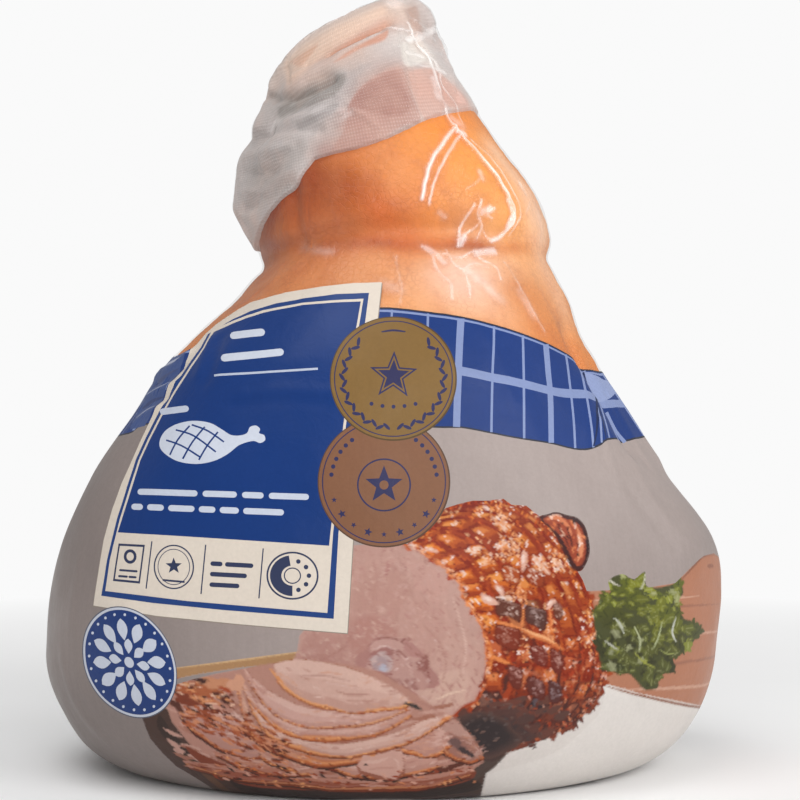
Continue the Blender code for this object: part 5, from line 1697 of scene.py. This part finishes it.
# the cloth round the shank: two or more layers of white netting, thin enough that the skin warms it
# where fewer layers show, and where light and shade are painted, each with a clear edge: outline in the frame,
# softness, colour, strength
CLOTH_LAYERS_AND_PAINTED_LIGHT = [
    ([(330, 152), (338, 140), (346, 126), (348, 108), (358, 90), (374, 77), (392, 69), (403, 70), (410, 92), (421, 119), (404, 126), (384, 136), (360, 146), (342, 152)], 1.6, (200, 154, 142), 0.75),
    ([(348, 106), (360, 90), (376, 78), (398, 71), (404, 88), (410, 108), (394, 116), (372, 112)], 2.2, (176, 124, 112), 0.7),
    ([(408, 72), (430, 68), (450, 82), (468, 104), (446, 108), (436, 121), (424, 118), (415, 98)], 2.0, (222, 174, 158), 0.75),
    # partly painted light: pale peach along the top ridge; the next is painted shade, the orange run in the valley
    # under it
    ([(286, 62), (306, 44), (340, 26), (378, 8), (384, 14), (356, 34), (326, 54), (300, 76), (288, 84)], 4.0, (246, 210, 186), 0.7),
    ([(334, 62), (350, 50), (376, 36), (388, 30), (384, 40), (362, 48), (344, 58)], 1.6, (216, 148, 118), 0.8),
    ([(290, 62), (304, 52), (318, 44), (310, 56), (300, 66)], 1.6, (222, 164, 132), 0.6),
    # painted shade in the folds on the left
    ([(278, 108), (300, 96), (326, 88), (340, 74), (346, 78), (336, 94), (314, 104), (292, 112), (280, 118)], 2.4, (146, 138, 132), 0.7),
    ([(296, 122), (318, 112), (338, 102), (334, 112), (314, 122), (300, 130)], 2.2, (162, 154, 152), 0.6),
    ([(404, 10), (416, 6), (420, 20), (423, 36), (412, 26)], 2.4, (186, 150, 136), 0.7),
    # painted highlight: a white patch of film shine by the seam's top
    ([(400, 44), (420, 40), (426, 58), (414, 66), (404, 64)], 2.0, (240, 232, 224), 0.8),
    # painted shade: greys on the cloth's left flank, away from the lamps
    ([(246, 196), (268, 184), (284, 176), (276, 192), (256, 206), (242, 214)], 2.6, (176, 166, 164), 0.6),
    ([(252, 166), (276, 150), (300, 140), (304, 156), (276, 176), (250, 186)], 4.0, (186, 176, 172), 0.6),
]
# soft patches on the cloth: place, radius in mm, colour, strength; besides the cloth's own tones, some are painted
# light and shade, as marked
CLOTH_TONES_AND_PAINTED_LIGHT = [
    (at_px((396, 40), (400, 60), (407, 84), (415, 104), (421, 118)), 1.3, (240, 222, 214), 0.85),
    (at_px((344, 104), (360, 116), (378, 126)), 0.9, (226, 198, 190), 0.6),
    # partly painted light: pale peach along the top ridge
    (at_px((300, 56), (345, 36), (392, 14)), 7, (244, 206, 180), 0.9),
    (at_px((300, 90), (330, 78), (360, 60)), 6, (214, 182, 166), 0.7),
    # painted shade: the orange run in the valley under the top ridge
    (at_px((338, 58), (352, 48), (386, 30)), 4.2, (222, 152, 118), 0.9),
    (at_px((298, 84), (312, 72), (330, 60)), 4.5, (222, 170, 142), 0.7),
    # painted shade in the folds on the left
    (at_px((268, 106), (300, 102), (330, 86)), 4.6, (132, 126, 120), 0.85),
    (at_px((310, 120), (334, 108), (350, 84)), 7, (178, 172, 172), 0.7),
    (at_px((280, 60), (282, 82)), 6, (222, 196, 178), 0.7),
    (at_px((374, 100), (392, 84), (396, 112), (372, 120)), 8.0, (182, 132, 118), 0.95),
    (at_px((352, 128), (376, 140), (345, 148)), 6.0, (206, 156, 142), 0.85),
    (at_px((335, 160), (325, 152)), 4.5, (196, 150, 140), 0.7),
    (at_px((420, 90), (450, 100), (462, 104)), 7, (226, 178, 160), 0.9),
    (at_px((425, 70), (438, 96)), 3.2, (200, 138, 120), 0.6),
    # painted highlight: a white patch of film shine by the seam's top
    (at_px((402, 46), (420, 52), (424, 66)), 4.5, (246, 238, 230), 0.85),
    (at_px((385, 20), (395, 26), (404, 30)), 4, (232, 196, 176), 0.8),
    (at_px((412, 14), (420, 32)), 4.5, (176, 148, 138), 0.8),
    (at_px((398, 12), (404, 20)), 3.2, (226, 190, 170), 0.6),
    # painted shade: greys on the cloth's left flank, away from the lamps
    (at_px((246, 150), (262, 134)), 7, (170, 162, 160), 0.7),
    (at_px((240, 180), (262, 176), (280, 160)), 9, (182, 174, 172), 0.8),
    (at_px((238, 208), (262, 200), (284, 184)), 5, (160, 150, 146), 0.8),
    (at_px((244, 228), (256, 218)), 5, (204, 198, 196), 0.8),
    (at_px((292, 136), (284, 160)), 5, (196, 190, 190), 0.7),
]
cloth_angles = round_angles(0.6, 1.6)
hem_v = v_of(hem_height(cloth_angles))
lift = np.concatenate([[-0.5, -0.1, 0.15, 0.4, 0.7, 1.1], 1.6 + (V_TOP - 40) * np.linspace(0, 1, 150)[:0]])
span = V_TOP + END_V - hem_v
cloth_rows = [hem_v + d for d in (-0.45, -0.15, 0.1, 0.35, 0.7, 1.15)] + [hem_v + 1.6 + (span - 1.6) * t for t in np.concatenate([np.linspace(0, 0.99, 168), [1.0]])]
uv, quads = ring_grid(cloth_angles, cloth_rows)
p = plain(uv)
share, over = cloth_share(uv)
full = guard_offset(uv, p) + cloth_folds(p, over)
cloth_off = relief(p, LEG_RELIEF) - 0.9 + (full + 0.9) * smooth_step(over, -0.5, 0.15)
cloth_at = p + out_of(uv) * cloth_off[:, None]
m = Nodes("bone_guard_netting")
weave_at = m.add("UVMap", uv_map="weave").outputs["UV"]
part = m.add("SeparateXYZ")
m.tree.links.new(weave_at, part.inputs[0])
warp = m.math("SINE", m.math("MULTIPLY", m.math("ADD", part.outputs[0], part.outputs[1]), math.pi))
weft = m.math("SINE", m.math("MULTIPLY", m.math("SUBTRACT", part.outputs[0], part.outputs[1]), math.pi))
dots = m.math("MULTIPLY", warp, weft)
# the holes: partly what shows through the netting and partly painted shade in its sunk gaps
holes_and_painted_shade = m.range(dots, 0.15, 0.85, 0.0, 1.0)
colour = m.attribute("tone")
thin = m.range(m.noise(55.0, 3.0, 0.6), 0.45, 0.7, 0.0, 0.35)
colour = m.blend(thin, colour, ink(222, 186, 170), "MIX")
shown = m.range(m.noise(30.0, 3.0, 0.5), 0.40, 0.60, 0.25, 1.0)
colour = m.blend(m.math("MULTIPLY", m.math("MULTIPLY", holes_and_painted_shade, shown), 0.16), colour, ink(128, 112, 108), "MIX")
colour = m.blend(m.math("MULTIPLY", m.range(dots, -0.9, -0.3, 1.0, 0.0), m.math("MULTIPLY", shown, 0.16)), colour, ink(250, 250, 250), "MIX")
fibre = m.noise(1100.0, 3.0, 0.7)
colour = times(m, colour, m.range(fibre, 0.3, 0.7, 0.93, 1.07))
height = m.math("ADD", m.math("MULTIPLY", dots, -0.5), m.math("MULTIPLY", fibre, 0.5))
shader = m.principled(Base_Color=colour, Roughness=m.range(fibre, 0.3, 0.7, 0.72, 0.9), Normal=m.bump(height, 0.0002, 0.55))
shader.inputs["Sheen Weight"].default_value = 0.25
shader.inputs["Sheen Roughness"].default_value = 0.5
cloth = make_piece("guard_cloth", cloth_at, quads, m.finish(shader))
tone = tinted(cloth_at, (214, 202, 198), CLOTH_TONES_AND_PAINTED_LIGHT)
at, facing = seen(cloth_at), ((CAMERA_AT - cloth_at) * out_of(uv)).sum(axis=1) > 0
for ring, soft, colour_, strength in CLOTH_LAYERS_AND_PAINTED_LIGHT:
    inside_ = inside_ring(at, curve(np.array(ring + ring[:1], float), 5)[:-1]) & facing
    edge = distance_to(np.c_[at, np.zeros(len(at))], np.c_[curve(np.array(ring + ring[:1], float), 5), np.zeros(5 * len(ring) + 1)], 4 * soft)
    part_ = (strength * np.where(inside_, smooth_step(edge, -soft, soft), smooth_step(-edge, -soft, soft)) * facing)[:, None]
    tone = tone * (1 - part_) + ink(*colour_) * part_
give_colour(cloth.data, "tone", np.minimum(tone * 0.85, 0.93))
give_map(cloth.data, uv)
layer = cloth.data.uv_layers.new(name="weave")
index = np.empty(len(cloth.data.loops), np.int32)
cloth.data.loops.foreach_get("vertex_index", index)
layer.data.foreach_set("uv", (uv * [0.62, 1.0] / 1.15)[index].astype(np.float32).ravel())
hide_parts("bone_guard")

# painted highlights, where the film is painted white as if it shone broadly: place, radius in mm, strength
PAINTED_FILM_GLINTS = [
    (at_px((482, 212), (490, 209)), 1.3, 0.85), (at_px((456, 131), (464, 134)), 1.2, 0.9), (at_px((452, 118), (462, 126)), 2.2, 0.35),
    (at_px((404, 48), (416, 42), (424, 34)), 1.3, 0.75), (at_px((388, 12), (402, 14)), 2.4, 0.45), (at_px((404, 60), (418, 62)), 0.9, 0.7),
    (at_px((412, 70), (430, 74), (440, 78)), 1.1, 0.45), (at_px((430, 84), (436, 100), (444, 108)), 1.5, 0.65), (at_px((520, 184), (526, 194)), 1.3, 0.5),
    (at_px((508, 200), (513, 214), (510, 226)), 1.0, 0.8), (at_px((426, 248), (436, 254), (444, 262)), 1.2, 0.65), (at_px((476, 253), (494, 251)), 1.3, 0.7),
    (at_px((466, 236), (460, 244)), 1.1, 0.7), (at_px((440, 212), (446, 216)), 1.2, 0.25), (at_px((530, 196), (544, 232)), 3.5, 0.22),
    (at_px((480, 172), (482, 178)), 1.3, 0.4), (at_px((340, 126), (352, 118)), 1.6, 0.25), (at_px((382, 284), (400, 290)), 3.0, 0.18),
    (at_px((468, 272), (486, 286), (500, 300)), 2.4, 0.30), (at_px((520, 292), (534, 316)), 2.2, 0.22), (at_px((296, 246), (330, 252)), 2.0, 0.22),
]

# the clear part of the bag
film_angles = round_angles(0.5, 1.9)
low_v = v_of(np.interp(((film_angles + 270) % 360) - 270, *np.array(BAND_TOP, float).T)) - 2.5
film_rows = [low_v + (V_TOP + END_V - low_v) * t for t in np.concatenate([np.linspace(0, 0.99, 190), [1.0]])]
uv, quads = ring_grid(film_angles, film_rows)
p = plain(uv)
off = film_offset(uv, p)
film_at = p + out_of(uv) * (off - 0.08)[:, None]
# painted highlight: white along the raised wrinkles, partly the whitening of stretched film and partly painted glint,
# and white at each painted film glint
haze = np.zeros(len(p))
for height, radius, path in CLEAR_FOLDS:
    if height > 0:
        d = distance_to(p, path, 4 * radius)
        haze = np.maximum(haze, min(1.0, max(0.0, height - 0.28) * 1.9) * (0.85 * np.exp(-((d / (0.46 * radius)) ** 2)) + 0.15 * np.exp(-((d / (1.5 * radius)) ** 2))))
for place, radius, strength in PAINTED_FILM_GLINTS:
    haze = np.maximum(haze, strength * np.exp(-((distance_to(p, np.atleast_2d(place), 4 * radius) / radius) ** 2)))
haze = haze * np.clip(0.78 + 0.45 * lattice_noise(p, 6.0, 31) + 0.18 * lattice_noise(p, 1.8, 32), 0, 1)
m = Nodes("clear_shrink_film")
crumple = m.noise(95.0, 4.0, 0.6, distortion=1.2)
small = m.noise(260.0, 3.0, 0.6, distortion=0.8)
normal = m.bump(m.math("ADD", crumple, m.math("MULTIPLY", small, 0.35)), 0.0011, 0.55)
clear = m.add("BsdfTransparent")
m.put(clear, Color=(0.995, 0.992, 0.988))
# where the film's whitening and painted glints lie, the film is painted white and mostly opaque
white = m.range(m.attribute("haze", "Fac"), 0.0, 0.25)
gloss = m.principled(Base_Color=m.blend(white, (0.10, 0.09, 0.08), (1.0, 0.985, 0.965)), Roughness=m.range(small, 0.3, 0.7, 0.05, 0.13), Normal=normal)
gloss.inputs["Specular IOR Level"].default_value = 1.0
fresnel = m.add("Fresnel")
m.put(fresnel, IOR=1.5)
m.tree.links.new(normal, fresnel.inputs["Normal"])
milk = m.range(m.noise(38.0, 3.0, 0.6), 0.4, 0.7, 0.0, 0.015)
factor = m.math("ADD", m.math("ADD", m.math("MINIMUM", m.math("MULTIPLY", fresnel.outputs[0], 0.6), 0.11), milk), m.math("MULTIPLY", m.attribute("haze", "Fac"), 0.72), clamp=True)
both = m.add("MixShader")
m.tree.links.new(factor, both.inputs[0])
m.tree.links.new(clear.outputs[0], both.inputs[1])
m.tree.links.new(gloss.outputs[0], both.inputs[2])
film = make_piece("clear_film", film_at, quads, m.finish(both))
give_value(film.data, "haze", haze)
give_map(film.data, uv)

# the bag gathered flat under the cut face
base_angles = np.arange(-270, 90, 2.0)
base_rows = [np.full(len(base_angles), -CUT_V * t) for t in np.concatenate([[0], np.linspace(0.04, 0.97, 26), [1.0]])]
uv, quads = ring_grid(base_angles, base_rows)
p = plain(uv)
t = -uv[:, 1] / CUT_V
a = np.radians(uv[:, 0] / ANGLE_MM)
p[:, 2] = np.sin(np.clip(t, 0, 1) * np.pi) ** 0.5 * (0.35 + 0.3 * np.sin(a * 23 + 2 * np.sin(5 * a)) + 0.12 * lattice_noise(p, 7, 41)).clip(0)
m = Nodes("gathered_bag_base")
pleats = m.noise(30.0, 5.0, 0.6, distortion=1.5)
# painted shade: darker in the pleats' hollows and paler on their ridges, following the same noise as their bump
colour = m.blend(m.range(pleats, 0.35, 0.65), ink(150, 138, 132), ink(178, 166, 160))
shader = m.principled(Base_Color=colour, Roughness=m.range(pleats, 0.3, 0.7, 0.3, 0.45), Normal=m.bump(pleats, 0.001, 0.6))
shader.inputs["Coat Weight"].default_value = 0.2
base = make_piece("bag_base", p, quads[:, ::-1], m.finish(shader))
give_map(base.data, p[:, :2])

# ----------------------------------------------------------------------------------------------------------- studio
m = Nodes("studio_floor")
grain = m.noise(6.0, 3.0)
near = m.principled(Base_Color=m.blend(m.range(grain, 0.3, 0.7), (0.93, 0.93, 0.93), (0.96, 0.96, 0.96)), Roughness=0.9)
near.inputs["Specular IOR Level"].default_value = 0.0
glow = m.add("Emission")
m.put(glow, Color=(0.955, 0.955, 0.955), Strength=1.0)
length = m.add("VectorMath", operation="LENGTH")
m.tree.links.new(m.position(), length.inputs[0])
apart = m.range(length.outputs["Value"], 0.10, 0.75)
shader = m.add("MixShader")
m.tree.links.new(apart, shader.inputs[0])
m.tree.links.new(near.outputs[0], shader.inputs[1])
m.tree.links.new(glow.outputs[0], shader.inputs[2])
floor_mesh = bpy.data.meshes.new("studio_floor")
size = 30.0
floor_mesh.from_pydata([(-size, -size, 0), (size, -size, 0), (size, size, 0), (-size, size, 0)], [], [(0, 1, 2, 3)])
floor_mesh.materials.append(m.finish(shader))
floor = bpy.data.objects.new("studio_floor", floor_mesh)
bpy.context.scene.collection.objects.link(floor)


def soft_light(name, place, target, size, power, tall=None, tint=(1.0, 1.0, 1.0)):
    data = bpy.data.lights.new(name, "AREA")
    data.shape = "RECTANGLE"
    data.size, data.size_y = size, tall or size
    data.energy = power
    data.color = tint
    lamp = bpy.data.objects.new(name, data)
    lamp.location = place
    lamp.rotation_euler = (Vector(target) - Vector(place)).to_track_quat("-Z", "Y").to_euler()
    bpy.context.scene.collection.objects.link(lamp)
    return lamp


lamps = [
    soft_light("key", (1.0, -0.95, 0.85), (0, 0, 0.12), 0.7, 7.0),
    soft_light("side", (1.15, -0.1, 0.5), (0, 0, 0.16), 0.3, 2.0, 0.9),
    soft_light("front", (0.35, -1.6, 0.75), (0, 0, 0.12), 0.9, 9.0),
    soft_light("top", (-0.25, -0.45, 1.15), (0, 0, 0.2), 0.7, 4.5),
]

world = bpy.data.worlds.new("studio")
bpy.context.scene.world = world
world.use_nodes = True
tree = world.node_tree
tree.nodes.clear()
path = tree.nodes.new("ShaderNodeLightPath")
seen_by_eye, lighting, mixed = (tree.nodes.new(k) for k in ("ShaderNodeBackground", "ShaderNodeBackground", "ShaderNodeMixShader"))
seen_by_eye.inputs["Color"].default_value = (0.955, 0.955, 0.955, 1)
lighting.inputs["Color"].default_value = (1, 1, 1, 1)
lighting.inputs["Strength"].default_value = 0.40
tree.links.new(path.outputs["Is Camera Ray"], mixed.inputs[0])
tree.links.new(lighting.outputs[0], mixed.inputs[1])
tree.links.new(seen_by_eye.outputs[0], mixed.inputs[2])
tree.links.new(mixed.outputs[0], tree.nodes.new("ShaderNodeOutputWorld").inputs["Surface"])

camera_data = bpy.data.cameras.new("photo_camera")
camera_data.sensor_width = 36.0
camera_data.lens = FOCAL_PX / 800 * 36
camera_data.clip_start = 0.01
camera = bpy.data.objects.new("photo_camera", camera_data)
from mathutils import Matrix

camera.matrix_world = Matrix.Translation(Vector(CAMERA_AT * MM)) @ Matrix([[RIGHT[i], UP[i], -AHEAD[i]] for i in range(3)]).to_4x4()
bpy.context.scene.collection.objects.link(camera)
bpy.context.scene.camera = camera
bpy.context.scene.view_settings.view_transform = "Standard"
bpy.context.scene.view_settings.look = "None"
